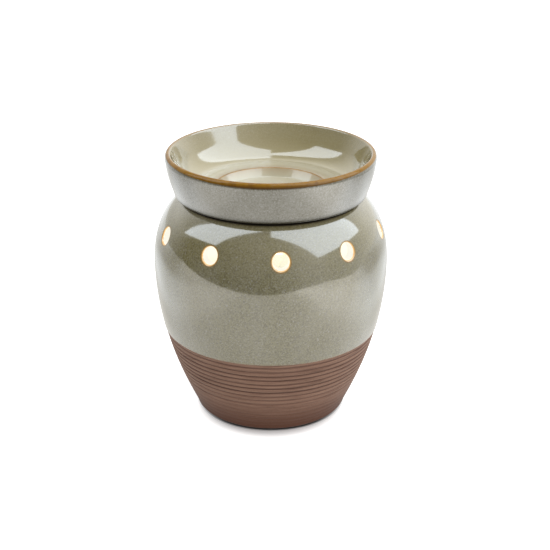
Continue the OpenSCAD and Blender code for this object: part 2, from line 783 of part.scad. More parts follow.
module centre_contact() {
    base_end = contact_rivet[0] + rivet_head_d / 2 + neck_gap;
    color(brass_colour)
    difference() {
        rotate([90, 0, 0])
        linear_extrude(height = contact_w, center = true)
        polygon([
            [-contact_reach, insert_top_z], [base_end + contact_t, insert_top_z],
            [base_end + 2 * contact_t, contact_top_z - contact_t],
            [tip_d / 2, contact_top_z - contact_t], [tip_d / 2, contact_top_z],
            [base_end + contact_t, contact_top_z], [base_end, insert_top_z + contact_t],
            [-contact_reach, insert_top_z + contact_t]
        ]);
        rivet_hole(contact_rivet, insert_top_z, contact_t);
    }
}

// One rivet holds the centre contact, and the other the bottom of the screw shell
module contact_rivets() {
    color(brass_colour)
    for (i = [0, 1])
        translate([rivet_spot[i][0], rivet_spot[i][1], 0]) {
            translate([0, 0, rivet_top[i]])
            cylinder(d = rivet_head_d, h = rivet_head_h);
            translate([0, 0, terminal_under_z - rivet_head_h])
            cylinder(d = rivet_head_d, h = rivet_head_h);
            translate([0, 0, terminal_under_z])
            cylinder(r = rivet_r, h = rivet_top[i] - terminal_under_z);
        }
}

module terminal_plates() {
    color(brass_colour)
    for (i = [0, 1])
        difference() {
            translate([terminal_low[i][0], terminal_low[i][1], terminal_under_z])
            cube([terminal_high[i][0] - terminal_low[i][0],
                terminal_high[i][1] - terminal_low[i][1], terminal_t]);
            translate([terminal_spot[i][0], terminal_spot[i][1], terminal_under_z - cut])
            cylinder(r = terminal_d / 2 + thread_gap, h = terminal_t + 2 * cut);
            rivet_hole(rivet_spot[i], terminal_under_z, terminal_t);
        }
}

module terminal_screws() {
    color(steel_colour)
    for (spot = terminal_spot)
        translate([spot[0], spot[1], terminal_under_z])
        difference() {
            union() {
                translate([0, 0, -terminal_head_h])
                cylinder(d = terminal_head_d, h = terminal_head_h);
                cylinder(d = terminal_d, h = terminal_t + terminal_grip);
            }
            translate([-terminal_head_d / 2 - cut, -slot_w / 2, -terminal_head_h - cut])
            cube([terminal_head_d + 2 * cut, slot_w, slot_depth + cut]);
        }
}

// Glass outside from the neck to the top, moved in by a depth
function glass_path(inset) =
    concat(
        [[lamp_neck_r - inset, neck_low_z], [lamp_neck_r - inset, cap_thread_top_z]],
        [[glass_seat_r - inset, cap_top_z]],
        bend([glass_seat_r - inset, cap_top_z],
            [lamp_r - inset, cap_top_z + (lamp_shoulder_z - cap_top_z) / 3],
            [lamp_r - inset, lamp_shoulder_z], curve_steps),
        arc([0, lamp_top_z - lamp_r], lamp_r - inset, 0, 90, curve_steps)
    );

module bulb_glass() {
    inner = glass_path(glass_t);
    color(glass_colour, 0.5)
    rotate_extrude()
    polygon(concat(
        glass_path(0),
        [for (i = [len(inner) - 1:-1:0]) inner[i]]
    ));
}

module bulb_cap() {
    outer = thread_path(cap_mean_r, cap_z, cap_thread_top_z, -1);
    color(steel_colour)
    wound_rows(concat(
        [[cap_hole_d / 2, cap_z, 0]],
        outer,
        [[skirt_d / 2, cap_thread_top_z + skirt_h / 2, 0], [skirt_d / 2, cap_top_z, 0],
            [skirt_bore_r, cap_top_z, 0], [skirt_bore_r, cap_thread_top_z + skirt_h / 2, 0],
            [cap_bore_r, cap_thread_top_z, 0], [cap_bore_r, cap_z + shell_t, 0],
            [cap_hole_d / 2, cap_z + shell_t, 0]]
    ));
}

module cap_insulator() {
    plug_r = cap_hole_d / 2 - cap_gap;
    color(rubber_colour)
    rotate_extrude()
    polygon([
        [0, tip_top_z], [insulator_tip_d / 2, tip_top_z], [plug_r, cap_z],
        [plug_r, cap_z + insulator_h], [0, cap_z + insulator_h]
    ]);
}

module bulb_tip() {
    color(brass_colour)
    translate([0, 0, contact_top_z])
    cylinder(d = tip_d, h = tip_h);
}

module glass_stem() {
    color(glass_colour, 0.5) {
        translate([0, 0, neck_low_z])
        cylinder(r = lamp_neck_r - glass_t, h = glass_t);
        translate([0, 0, neck_low_z])
        cylinder(d = stem_d, h = glass_t + stem_h);
        translate([-pinch_w / 2, -pinch_t / 2, stem_top_z])
        cube([pinch_w, pinch_t, pinch_h]);
    }
}

module lead_wires() {
    run = lead_half - lead_gap / 2;
    color(steel_colour)
    for (side = [-1, 1])
        translate([side * lead_gap / 2, 0, pinch_top_z])
        rotate([0, side * atan(run / lead_h), 0])
        cylinder(d = lead_d, h = norm([run, lead_h]));
}

module filament() {
    color("#e8b060")
    translate([-filament_l / 2, 0, lead_top_z + filament_d / 2])
    rotate([0, 90, 0])
    cylinder(d = filament_d, h = filament_l);
}

jar_body();
wax_dish();
foot_pads();
base_cover();
cover_screws();
cover_bracket();
cord_bushing();
nipple();
lower_gasket();
lock_washer();
nipple_nut();
upper_gasket();
lampholder_dome();
lampholder_insert();
lampholder_barrel();
screw_shell();
centre_contact();
contact_rivets();
terminal_plates();
terminal_screws();
bulb_glass();
bulb_cap();
cap_insulator();
bulb_tip();
glass_stem();
lead_wires();
filament();
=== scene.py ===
"""Looks of a lamp-type wax warmer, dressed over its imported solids.

Every surface is worked out with numpy in metres, in the frame of the solids: +Z is up,
the front faces -Y, and the origin is on the table under the centre of the jar.
"""

import math

import bmesh
import bpy
import numpy as np
from bpy.props import FloatProperty, FloatVectorProperty, IntProperty, PointerProperty
from bpy.types import Operator, Panel, PropertyGroup
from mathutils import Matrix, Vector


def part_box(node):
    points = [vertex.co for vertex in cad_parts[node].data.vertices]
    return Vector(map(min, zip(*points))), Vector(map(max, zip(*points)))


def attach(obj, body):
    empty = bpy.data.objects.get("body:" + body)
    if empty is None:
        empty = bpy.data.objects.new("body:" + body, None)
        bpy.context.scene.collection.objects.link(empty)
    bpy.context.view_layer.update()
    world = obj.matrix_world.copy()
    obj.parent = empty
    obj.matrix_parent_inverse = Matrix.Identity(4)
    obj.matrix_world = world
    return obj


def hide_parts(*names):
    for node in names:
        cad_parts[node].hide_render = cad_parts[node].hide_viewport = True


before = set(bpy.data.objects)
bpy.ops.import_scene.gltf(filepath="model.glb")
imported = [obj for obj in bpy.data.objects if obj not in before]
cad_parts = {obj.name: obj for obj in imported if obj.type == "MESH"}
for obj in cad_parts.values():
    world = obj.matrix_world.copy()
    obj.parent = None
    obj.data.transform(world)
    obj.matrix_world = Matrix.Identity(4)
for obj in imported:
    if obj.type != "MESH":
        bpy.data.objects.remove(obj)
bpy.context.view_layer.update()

bl_info = {
    "name": "Wax warmer",
    "version": (1, 0, 0),
    "blender": (4, 5, 0),
    "location": "3D View > Sidebar > Warmer",
    "description": "Builds a glazed stoneware wax warmer with its dish, lamp and stage",
    "category": "Object",
}

MM = 0.001

# Steps round a large turned surface
COLUMNS = 200
# Angle in degrees between two faces beyond which their edge is shown sharp
SHARP = 40
# Points of a mesh that are closer than this become one
MERGE = 0.004 * MM
# Places in the lists of finishes: the jar has glaze, clay and liner, the dish has glaze, clay and rim
GLAZE, CLAY, LINER, RIM = 0, 1, 2, 2
# Places of a mix node's colour sockets
MIX_A, MIX_B, MIX_RESULT = 6, 7, 2

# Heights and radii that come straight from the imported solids
JAR_LOW, JAR_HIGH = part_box("jar_body")
DISH_LOW, DISH_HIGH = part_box("wax_dish")
PAD_LOW, PAD_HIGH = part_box("foot_pads")
COVER_LOW, COVER_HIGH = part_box("base_cover")
BUSHING_LOW, BUSHING_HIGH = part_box("cord_bushing")
DOME_LOW, DOME_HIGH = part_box("lampholder_dome")
BARREL_LOW, BARREL_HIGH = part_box("lampholder_barrel")
SHELL_LOW, SHELL_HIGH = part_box("screw_shell")
GLASS_LOW, GLASS_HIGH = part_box("bulb_glass")
CAP_LOW, CAP_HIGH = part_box("bulb_cap")
PLUG_LOW, PLUG_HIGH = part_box("cap_insulator")
TIP_LOW, TIP_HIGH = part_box("bulb_tip")
STEM_LOW, STEM_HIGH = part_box("glass_stem")
COIL_LOW, COIL_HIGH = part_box("filament")


def srgb(red, green, blue):
    """Linear colour of a screen colour given in steps of 0 to 255."""
    share = np.array([red, green, blue]) / 255
    linear = np.where(share <= 0.04045, share / 12.92, ((share + 0.055) / 1.055) ** 2.4)
    return tuple(float(v) for v in linear)


def length(name, text, size_mm):
    """A length property whose default is given in millimetres."""
    return FloatProperty(name=name, description=text, default=size_mm * MM, unit="LENGTH", precision=5)


def degrees(name, text, angle):
    """An angle property whose default is given in degrees."""
    return FloatProperty(name=name, description=text, default=math.radians(angle), subtype="ANGLE")


def colour(name, text, red, green, blue):
    """A colour property whose default is a screen colour in steps of 0 to 255."""
    return FloatVectorProperty(
        name=name, description=text, default=srgb(red, green, blue), subtype="COLOR", min=0, max=1
    )


def tint(name, text, red, green, blue):
    """A colour property whose default is given in linear shares, which may exceed one."""
    return FloatVectorProperty(name=name, description=text, default=(red, green, blue), subtype="COLOR")


def number(name, text, value):
    """A plain number property."""
    return FloatProperty(name=name, description=text, default=value, precision=4)


class JarSizes(PropertyGroup):
    """Sizes of the stoneware jar."""

    belly_d: length("Belly", "Outside diameter at the widest point", 131.4)
    belly_z: length("Belly height", "Height of the widest point", 88.6)
    reach_low: length("Lower reach", "Reach of the belly's curve towards the foot", 43.6)
    reach_up: length("Upper reach", "Reach of the belly's curve towards the mouth", 24.2)
    foot_d: length("Foot", "Outside diameter of the foot", 85.6)
    foot_lean: degrees("Foot lean", "Lean of the wall at the foot from upright", 24.5)
    foot_reach: length("Foot reach", "Length over which the wall keeps that lean", 11.5)
    foot_round: length("Foot round", "Rounding of the foot's outer edge", 2.2)
    lip_d: length("Lip", "Outside diameter of the lip", 94.4)
    lip_slope: degrees("Lip slope", "Slope of the shoulder where it meets the lip", 24)
    lip_reach: length("Lip reach", "Length over which the shoulder keeps that slope", 8)
    lip_round: length("Lip round", "Rounding of the lip's outer edge", 0.9)
    mouth_d: length("Mouth", "Diameter of the mouth", 77)
    mouth_round: length("Mouth round", "Rounding of the mouth's edges", 1.5)
    wall: length("Wall", "Thickness of the wall", 5.5)
    floor_z: length("Floor", "Height of the floor's upper face", 19)
    floor_t: length("Floor thickness", "Thickness of the floor", 6)
    floor_curve: length("Floor curve", "Size of the curve from the wall to the floor", 9)
    floor_hole_d: length("Floor hole", "Diameter of the hole for the nipple", 10.6)
    hollow_d: length("Hollow", "Diameter of the hollow under the floor", 70)
    hollow_round: length("Hollow round", "Rounding at the top of the hollow", 1)
    notch_w: length("Notch width", "Width of the cord notch at the back", 11)
    notch_z: length("Notch top", "Height of the cord notch's top", 12)


class GrooveSizes(PropertyGroup):
    """Turned grooves in the bare clay, and the line where the glaze ends."""

    count: IntProperty(name="Grooves", description="Number of turned grooves", default=15)
    first_z: length("First groove", "Height of the lowest groove", 6.5)
    pitch: length("Pitch", "Spacing of the grooves", 2.95)
    width: length("Width", "Width of a groove", 1.7)
    depth: length("Depth", "Depth of a groove", 0.5)
    wander: length("Wander", "How far a groove wanders up and down round the jar", 0.09)
    faint_z: length("Faint below", "Height below which the grooves are faint", 18)
    full_z: length("Full above", "Height above which the grooves are cut to full depth", 26)
    glaze_z: length("Glaze line", "Height of the line where the glaze ends", 50)
    glaze_t: length("Glaze", "Thickness of the glaze at that line", 0.3)


class PortSizes(PropertyGroup):
    """Round light ports in the shoulder."""

    count: IntProperty(name="Ports", description="Number of light ports", default=10)
    diameter: length("Diameter", "Diameter of a port", 9)
    height: length("Height", "Height of the ports", 110.1)
    turn: degrees("Turn", "Turn of the first port from the front towards +X", 4.9)
    edge: length("Edge", "Rounding of a port's outer edge", 0.8)
    band: length("Band", "Height above and below the ports that is meshed round them", 8)


class DishSizes(PropertyGroup):
    """Sizes of the wax dish."""

    rim_d: length("Rim", "Outside diameter of the rim before it is rounded", 116.8)
    base_d: length("Base", "Outside diameter of the bottom edge before it is rounded", 105.6)
    base_round: length("Base round", "Rounding of the bottom edge", 2.8)
    swell: length("Swell", "Swell of the side beyond a straight flare", 1.1)
    rim_round: length("Rim", "Rounding of the rim's outer edge", 3.4)
    lip_round: length("Lip", "Rounding of the rim's inner edge", 1.4)
    rim_turn: degrees("Rim turn", "Slope of the rim where its two roundings meet", 45)
    bowl_lean: degrees("Bowl lean", "Lean of the inside wall from upright", 23)
    floor_t: length("Floor", "Thickness of the floor above the seat", 3.9)
    curve_rise: length("Curve rise", "How far the curve of the inside rises above the floor", 10.7)
    curve: length("Curve", "How far the curve of the inside runs along the floor", 10)
    well_d: length("Well", "Diameter of the well in the floor", 61.5)
    well_depth: length("Well depth", "Depth of the well", 4.8)
    well_slope: length("Well slope", "How far the well's side slopes in", 3.2)
    well_round: length("Well round", "Rounding of the well's edges", 1.1)
    spigot_d: length("Spigot", "Diameter of the spigot", 74)
    spigot_round: length("Spigot round", "Rounding of the spigot's lower edge", 2)


class LampSizes(PropertyGroup):
    """Sizes of the lamp and its lampholder."""

    neck_d: length("Neck", "Diameter of the glass neck inside the cap", 11)
    glass_t: length("Glass", "Thickness of the glass", 0.8)
    straight: length("Straight", "Length of glass that runs straight below the round top", 13)
    skirt_h: length("Skirt", "Height of the cap's flared skirt", 3.4)
    sheet: length("Sheet", "Thickness of the cap's and the screw shell's sheet", 0.4)
    gap: length("Gap", "Gap between the cap's sheet and what is inside it", 0.1)
    thread_d: length("Thread", "Outside diameter of the cap's thread", 13.88)
    thread_wave: length("Wave", "Half the depth of the thread", 0.4)
    thread_gap: length("Thread gap", "Radial gap between the cap's and the shell's thread", 0.25)
    pitch: length("Pitch", "Pitch of the thread", 2.82)
    cap_hole_d: length("Cap hole", "Diameter of the opening in the cap's bottom", 10.8)
    shell_hole_d: length("Shell hole", "Diameter of the hole in the shell's bottom", 8)
    plug_tip_d: length("Insulator tip", "Diameter of the insulator's lower face", 6)
    stem_d: length("Stem", "Diameter of the glass stem", 4.6)
    pinch_w: length("Pinch", "Width of the stem's pinch", 6)
    pinch_t: length("Pinch thickness", "Thickness of the stem's pinch", 2.4)
    pinch_h: length("Pinch height", "Height of the stem's pinch", 6)
    coil_turns: IntProperty(name="Turns", description="Turns of the filament's coil", default=34)
    coil_wire: length("Wire", "Diameter of the filament's wire", 0.26)
    neck_od: length("Holder neck", "Outside diameter of the lampholder's neck", 22.6)
    neck_gap: length("Holder gap", "Gap between the lampholder's neck and its barrel", 0.2)
    dome_step: length("Dome", "Height of the dome up to its neck", 12)
    dome_floor: length("Dome floor", "Thickness of the dome's bottom", 5)
    dome_bevel: length("Dome bevel", "Bevel of the dome's lower edge", 3)
    holder_bore: length("Holder bore", "Bore of the dome and the barrel", 18.8)
    nipple_d: length("Nipple", "Diameter of the nipple's hole in the dome", 10.1)


class BaseSizes(PropertyGroup):
    """Sizes of what closes and carries the foot."""

    pad_d: length("Pad", "Diameter of a foot pad", 6)
    bead_d: length("Bead", "Mean diameter of the stiffening bead in the cover", 39)
    bead_w: length("Bead width", "Width of that bead", 5)
    bead_h: length("Bead height", "Height of that bead", 0.8)
    cover_t: length("Cover", "Thickness of the cover", 1.2)
    body_w: length("Bushing", "Width of the cord bushing", 10.6)
    cord_bore_d: length("Cord bore", "Bore of the cord bushing", 5.4)
    cord_z: length("Cord height", "Height of the cord bushing's bore", 8.15)
    flange_t: length("Flange", "Thickness of the bushing's inner flange", 1.5)
    flange_z: length("Flange height", "Height of the flange's lower edge", 4.5)
    flange_top_z: length("Flange top", "Height of the flange's upper edge", 11.8)


class Colours(PropertyGroup):
    """Colours of the finishes."""

    glaze: colour("Glaze", "Olive-grey body of the glaze", 112, 107, 72)
    glaze_dark: colour("Olive fleck", "Dark olive flecks in the glaze", 72, 65, 33)
    glaze_pale: colour("Lavender fleck", "Pale lavender-grey flecks in the glaze", 136, 134, 128)
    amber: colour("Amber", "Glaze where it breaks over an edge", 150, 107, 20)
    amber_dark: colour("Burnt amber", "Darker patches along those edges", 124, 84, 16)
    # Painted shade: the darkened lower edge of the rim's amber
    burnt: colour("Burnt edge", "Dark line where the amber ends below the rim", 72, 48, 22)
    # Painted shade along the seam under the dish
    seam: colour("Seam", "Glaze in the shadow of the seam under the dish", 18, 17, 12)
    clay: colour("Clay", "Bare brown clay", 139, 108, 92)
    # Dark clay: random streaks and grain, and the painted shade in the grooves
    clay_dark: colour("Dark clay", "Clay in the grooves", 78, 53, 42)
    clay_low: colour("Low clay", "Redder clay low on the foot", 87, 52, 36)
    clay_pale: colour("Pale clay", "Rubbed ridges of the clay", 158, 126, 109)
    pool: colour("Pooled glaze", "Paler glaze that pools inside the dish", 166, 155, 114)
    liner: colour("Liner", "Cream wash inside the jar", 176, 170, 152)
    dish_floor: colour("Dish floor", "Pale glaze on the dish's floor", 194, 188, 163)
    dish_tint: tint("Dish tint", "Bluer tint of the glaze's body on the dish", 0.92, 0.97, 1.6)
    # Painted lamp light: edge_light glows on the ports' rounded edges, lamp_light on the liner
    edge_light: colour("Edge light", "Light of the lamp on the rounded edges of the ports", 255, 200, 128)
    lamp_light: colour("Lamp light", "Light of the lamp on the inside of the jar", 245, 242, 226)


class StageSettings(PropertyGroup):
    """Camera, light and floor."""

    aim_z: length("Aim", "Height on the axis that the camera aims at", 75)
    distance: length("Distance", "Distance from the camera to that point", 705)
    elevation: degrees("Elevation", "Height of the camera above the horizon", 23.15)
    lens: number("Lens", "Focal length in millimetres", 80.75)
    sensor: number("Sensor", "Width of the camera's sensor in millimetres", 36)
    shift_x: number("Shift X", "Sideways shift of the frame", 0.00764)
    shift_y: number("Shift Y", "Upward shift of the frame", 0.00564)
    dome_level: number("Dome", "Soft light from all sides on matt surfaces", 1.12)
    right_share: number("Right share", "How much more of that light comes from the right", 0.4)
    left_panel: number("Left panel", "Brightness of the left light panel in reflections", 3.45)
    right_panel: number("Right panel", "Brightness of the right light panel in reflections", 3.2)
    front_level: number("Front", "Brightness of the dark room in front in reflections", 0.33)
    right_level: number("Right fill", "Brightness that the room gains to the right", 0.75)
    back_level: number("Backdrop", "Brightness that the room gains behind the object", 0.68)
    panel_tint: tint("Panel tint", "Cool tint of the light panels", 0.92, 1.0, 1.08)
    room_tint: tint("Room tint", "Warm tint of the room round the light panels", 1.0, 0.99, 0.93)
    top_level: number("Ceiling", "Brightness that the room gains overhead", 0.14)
    table_white: number("Table", "Reflectance of the table in the picture", 0.97)
    table_lift: number("Table lift", "Glow that keeps the table white in the picture", 0.7)
    table_gloss: number("Table front", "Glow of the table in front, in reflections", 1.05)
    table_rest: number("Table rest", "What is left of that glow behind the front, in reflections", 0.04)
    table_right: number("Table right", "How many times stronger that glow is to the right", 2.05)
    table_near: number("Table near", "Glow gained close to the object's sides, in reflections", 0.24)
    table_side: number("Table beside", "Glow gained farther out on both sides, in reflections", 0.5)
    table_back: number("Table back", "Glow gained behind the object, in reflections", 0.14)
    table_far: number("Table far", "Glow gained farther back, in reflections", 0.4)
    table_bounce: tint("Bounce", "Reflectance of the table for light on the object", 0.8, 0.78, 0.73)
    table_cool: tint("Cool glow", "Colour of the table's glow behind the front", 0.86, 0.93, 1.0)
    table_back_edge: length("Table edge", "Distance of the table's far edge behind the object", 2600)


def bezier(points, t):
    """Cubic curve: the four control points weighted by the Bernstein polynomials of t."""
    t = t[:, None]
    a, b, c, d = points
    return (1 - t) ** 3 * a + 3 * (1 - t) ** 2 * t * b + 3 * (1 - t) * t ** 2 * c + t ** 3 * d


def bezier_way(points, t):
    """Unit direction along a cubic curve, from the differences of its control points."""
    t = t[:, None]
    a, b, c, d = points
    way = (1 - t) ** 2 * (b - a) + 2 * (1 - t) * t * (c - b) + t ** 2 * (d - c)
    return way / np.linalg.norm(way, axis=1)[:, None]


def arc(centre, radius, start, end, steps=8):
    """Points on a circle round centre, from one angle in degrees to another."""
    angle = np.radians(np.linspace(start, end, steps + 1))
    return np.array(centre) + radius * np.stack([np.cos(angle), np.sin(angle)], 1)


def bend(start, corner, end, steps=10):
    """Quadratic curve from start to end that is drawn towards the corner."""
    t = np.linspace(0, 1, steps + 1)[:, None]
    return (1 - t) ** 2 * np.array(start) + 2 * (1 - t) * t * np.array(corner) + t ** 2 * np.array(end)


def line(start, end, steps):
    """Points evenly spaced on a straight line."""
    return np.linspace(start, end, steps + 1)


def rounded(path, steps=6):
    """Open path of (radius, height, rounding): an inner corner becomes an arc tangent to both its sides."""
    straight = math.radians(89.9)
    spots = np.array([spot[:2] for spot in path], float)
    pieces = [spots[:1]]
    for before, here, after, (_, _, radius) in zip(spots, spots[1:], spots[2:], path[1:]):
        u = (before - here) / np.linalg.norm(before - here)
        v = (after - here) / np.linalg.norm(after - here)
        half = np.arccos(np.clip(u @ v, -1, 1)) / 2
        if radius == 0 or half > straight:
            pieces.append(here[None])
            continue
        centre = here + (u + v) / np.linalg.norm(u + v) * radius / np.sin(half)
        first = here + u * radius / np.tan(half) - centre
        last = here + v * radius / np.tan(half) - centre
        start = np.degrees(np.arctan2(first[1], first[0]))
        turn = (np.degrees(np.arctan2(last[1], last[0])) - start + 180) % 360 - 180
        pieces.append(arc(centre, radius, start, start + turn, steps))
    return np.concatenate(pieces + [spots[-1:]])


def around(count, start=0.0):
    """Angles that go once round in even steps."""
    return start + np.arange(count) * 2 * math.pi / count


def superellipse(a, b, power, angle):
    """Points x and y with |x/a|^n + |y/b|^n = 1, where n is the power."""
    c, s = np.cos(angle), np.sin(angle)
    return a * np.sign(c) * np.abs(c) ** (2 / power), b * np.sign(s) * np.abs(s) ** (2 / power)


def revolved(r, z, angle):
    """Radius r and height z at angle a from the front give the point (r sin a, -r cos a, z)."""
    return np.stack([r * np.sin(angle), -r * np.cos(angle), z + 0 * angle], -1)


def turned(profile, columns=COLUMNS, start=0.0):
    """Surface of revolution of a profile of (radius, height)."""
    profile = np.asarray(profile)
    return revolved(profile[:, :1], profile[:, 1:], around(columns, start))


def wound(path, pitch, columns=72):
    """Threaded surface from rows of mean radius, height z and wave.

    At angle a from +X the radius is mean + wave cos(2 pi z / pitch - a).
    """
    mean, z, wave = np.asarray(path).T[:, :, None]
    angle = around(columns)
    r = mean + wave * np.cos(2 * math.pi * z / pitch - angle)
    return np.stack([r * np.cos(angle), r * np.sin(angle), z + 0 * angle], -1)


def patch(points, finish=0, close=False, **marks):
    """A grid of points that closes across its columns, and along its rows if asked, with finish and marks."""
    return {"points": points, "finish": finish, "close": close, "marks": marks}


def grid_faces(rows, columns, close):
    """Four corner numbers of each face of a grid."""
    row = np.arange(rows if close else rows - 1)[:, None]
    column = np.arange(columns)[None]
    below, beside = (row + 1) % rows, (column + 1) % columns
    here, next_row = row * columns, below * columns
    return np.stack([here + column, here + beside, next_row + beside, next_row + column], -1).reshape(-1, 4)


def make_mesh(name, patches, finishes):
    """One mesh of several patches: they are joined, doubles merged and faces turned outwards."""
    points, faces, indices, first = [], [], [], 0
    names = sorted({mark for part in patches for mark in part["marks"]})
    marks = {mark: [] for mark in names}
    for part in patches:
        rows, columns = part["points"].shape[:2]
        grid = grid_faces(rows, columns, part["close"])
        points.append(part["points"].reshape(-1, 3))
        faces.append(grid + first)
        indices.append(np.full(len(grid), part["finish"]))
        for mark in names:
            value = part["marks"].get(mark, 0.0)
            marks[mark].append(np.broadcast_to(value, (rows, columns)).ravel())
        first += rows * columns
    mesh = bpy.data.meshes.new(name)
    mesh.from_pydata(np.concatenate(points).tolist(), [], np.concatenate(faces).tolist())
    mesh.polygons.foreach_set("material_index", np.concatenate(indices).astype(np.int32))
    for mark in names:
        layer = mesh.attributes.new(mark, "FLOAT", "POINT")
        layer.data.foreach_set("value", np.concatenate(marks[mark]).astype(np.float32))
    for finish in finishes:
        mesh.materials.append(finish)
    shape = bmesh.new()
    shape.from_mesh(mesh)
    bmesh.ops.remove_doubles(shape, verts=shape.verts, dist=MERGE)
    bmesh.ops.recalc_face_normals(shape, faces=shape.faces)
    open_edges = sum(1 for edge in shape.edges if len(edge.link_faces) != 2)
    if open_edges:
        raise RuntimeError(f"{name} has {open_edges} edges that don't join two faces")
    shape.to_mesh(mesh)
    shape.free()
    mesh.shade_smooth()
    mesh.set_sharp_from_angle(angle=math.radians(SHARP))
    return mesh


def place(name, patches, finishes, body, slot, *nodes):
    """Makes patches a piece of the scene that rides on a body and stands for solids."""
    piece = bpy.data.objects.new(name, make_mesh(name, patches, finishes))
    bpy.context.scene.collection.objects.link(piece)
    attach(piece, body)
    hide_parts(*nodes)
    return piece


def dress(finish, *nodes):
    """Gives solids that are shown as they are a finish."""
    for node in nodes:
        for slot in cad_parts[node].material_slots:
            slot.material = finish


class Nodes:
    """A node tree under construction, with short calls for the nodes that finishes share."""

    def __init__(self, tree):
        self.tree = tree
        tree.nodes.clear()

    def add(self, kind, sockets=None, **settings):
        """A new node with its settings, and its sockets set to values or joined to other sockets."""
        node = self.tree.nodes.new(kind)
        for key, value in settings.items():
            setattr(node, key, value)
        for key, value in (sockets or {}).items():
            self.feed(node.inputs[key], value)
        return node

    def feed(self, socket, value):
        """Joins another socket to this one, or sets it to a value."""
        if isinstance(value, bpy.types.NodeSocket):
            self.tree.links.new(value, socket)
        elif hasattr(value, "__len__") and socket.type == "RGBA":
            socket.default_value = (*value[:3], 1.0)
        else:
            socket.default_value = value

    def math(self, operation, a, b=0.0, c=0.0):
        """One step of arithmetic."""
        return self.add("ShaderNodeMath", {0: a, 1: b, 2: c}, operation=operation).outputs[0]

    def span(self, value, low, high, to_low=0.0, to_high=1.0, smooth=True):
        """A value carried from one range to another and clamped, along a smooth step or a straight line."""
        kind = "SMOOTHSTEP" if smooth else "LINEAR"
        sockets = {"Value": value, "From Min": low, "From Max": high, "To Min": to_low, "To Max": to_high}
        return self.add("ShaderNodeMapRange", sockets, interpolation_type=kind).outputs["Result"]

    def product(self, first, *others):
        """Several values multiplied."""
        for other in others:
            first = self.math("MULTIPLY", first, other)
        return first

    def axes(self, vector):
        """The X, Y and Z of a vector."""
        return self.add("ShaderNodeSeparateXYZ", {0: vector}).outputs

    def mix(self, share, a, b):
        """Two colours mixed by a share."""
        sockets = {"Factor": share, MIX_A: a, MIX_B: b}
        return self.add("ShaderNodeMix", sockets, data_type="RGBA").outputs[MIX_RESULT]

    def ramp(self, value, stops):
        """A colour ramp of (place, colour or grey) stops."""
        node = self.add("ShaderNodeValToRGB", {"Fac": value})
        points = node.color_ramp.elements
        while len(points) < len(stops):
            points.new(1.0)
        for point, (spot, shade) in zip(points, stops):
            point.position = spot
            point.color = (*shade[:3], 1.0) if hasattr(shade, "__len__") else (shade, shade, shade, 1.0)
        return node.outputs["Color"]


class Finish(Nodes):
    """A material with one main shader, patterned on Object coordinates."""

    def __init__(self, name):
        self.material = bpy.data.materials.new(name)
        self.material.use_nodes = True
        super().__init__(self.material.node_tree)
        self.shader = self.add("ShaderNodeBsdfPrincipled")
        output = self.add("ShaderNodeOutputMaterial")
        self.tree.links.new(self.shader.outputs[0], output.inputs["Surface"])
        self.coords = self.add("ShaderNodeTexCoord").outputs["Object"]

    def set(self, **sockets):
        """Sets or joins the main shader's sockets, with underscores for spaces."""
        for key, value in sockets.items():
            self.feed(self.shader.inputs[key.replace("_", " ")], value)

    def noise(self, grain, detail=2.0, stretch=(1, 1, 1), seed=0.0):
        """Noise whose grains have about this size in metres, stretched along the axes."""
        scale = tuple(1 / grain / s for s in stretch)
        sockets = {"Vector": self.coords, "Location": (seed,) * 3, "Scale": scale}
        placed = self.add("ShaderNodeMapping", sockets).outputs[0]
        sockets = {"Vector": placed, "Scale": 1.0, "Detail": detail, "Roughness": 0.55}
        return self.add("ShaderNodeTexNoise", sockets).outputs["Fac"]

    def mark(self, name):
        """A mark that the mesh carries on its points."""
        return self.add("ShaderNodeAttribute", attribute_name=name).outputs["Fac"]

    def height(self):
        """Height above the table."""
        return self.axes(self.coords)["Z"]

    def bump(self, relief, depth, strength):
        """Fine relief of this depth in metres."""
        sockets = {"Height": relief, "Distance": depth, "Strength": strength}
        self.set(Normal=self.add("ShaderNodeBump", sockets).outputs[0])

    def glow(self, tone, level):
        """Light that the surface gives off, without being sampled as a lamp."""
        self.set(Emission_Color=tone, Emission_Strength=level)
        self.material.cycles.emission_sampling = "NONE"


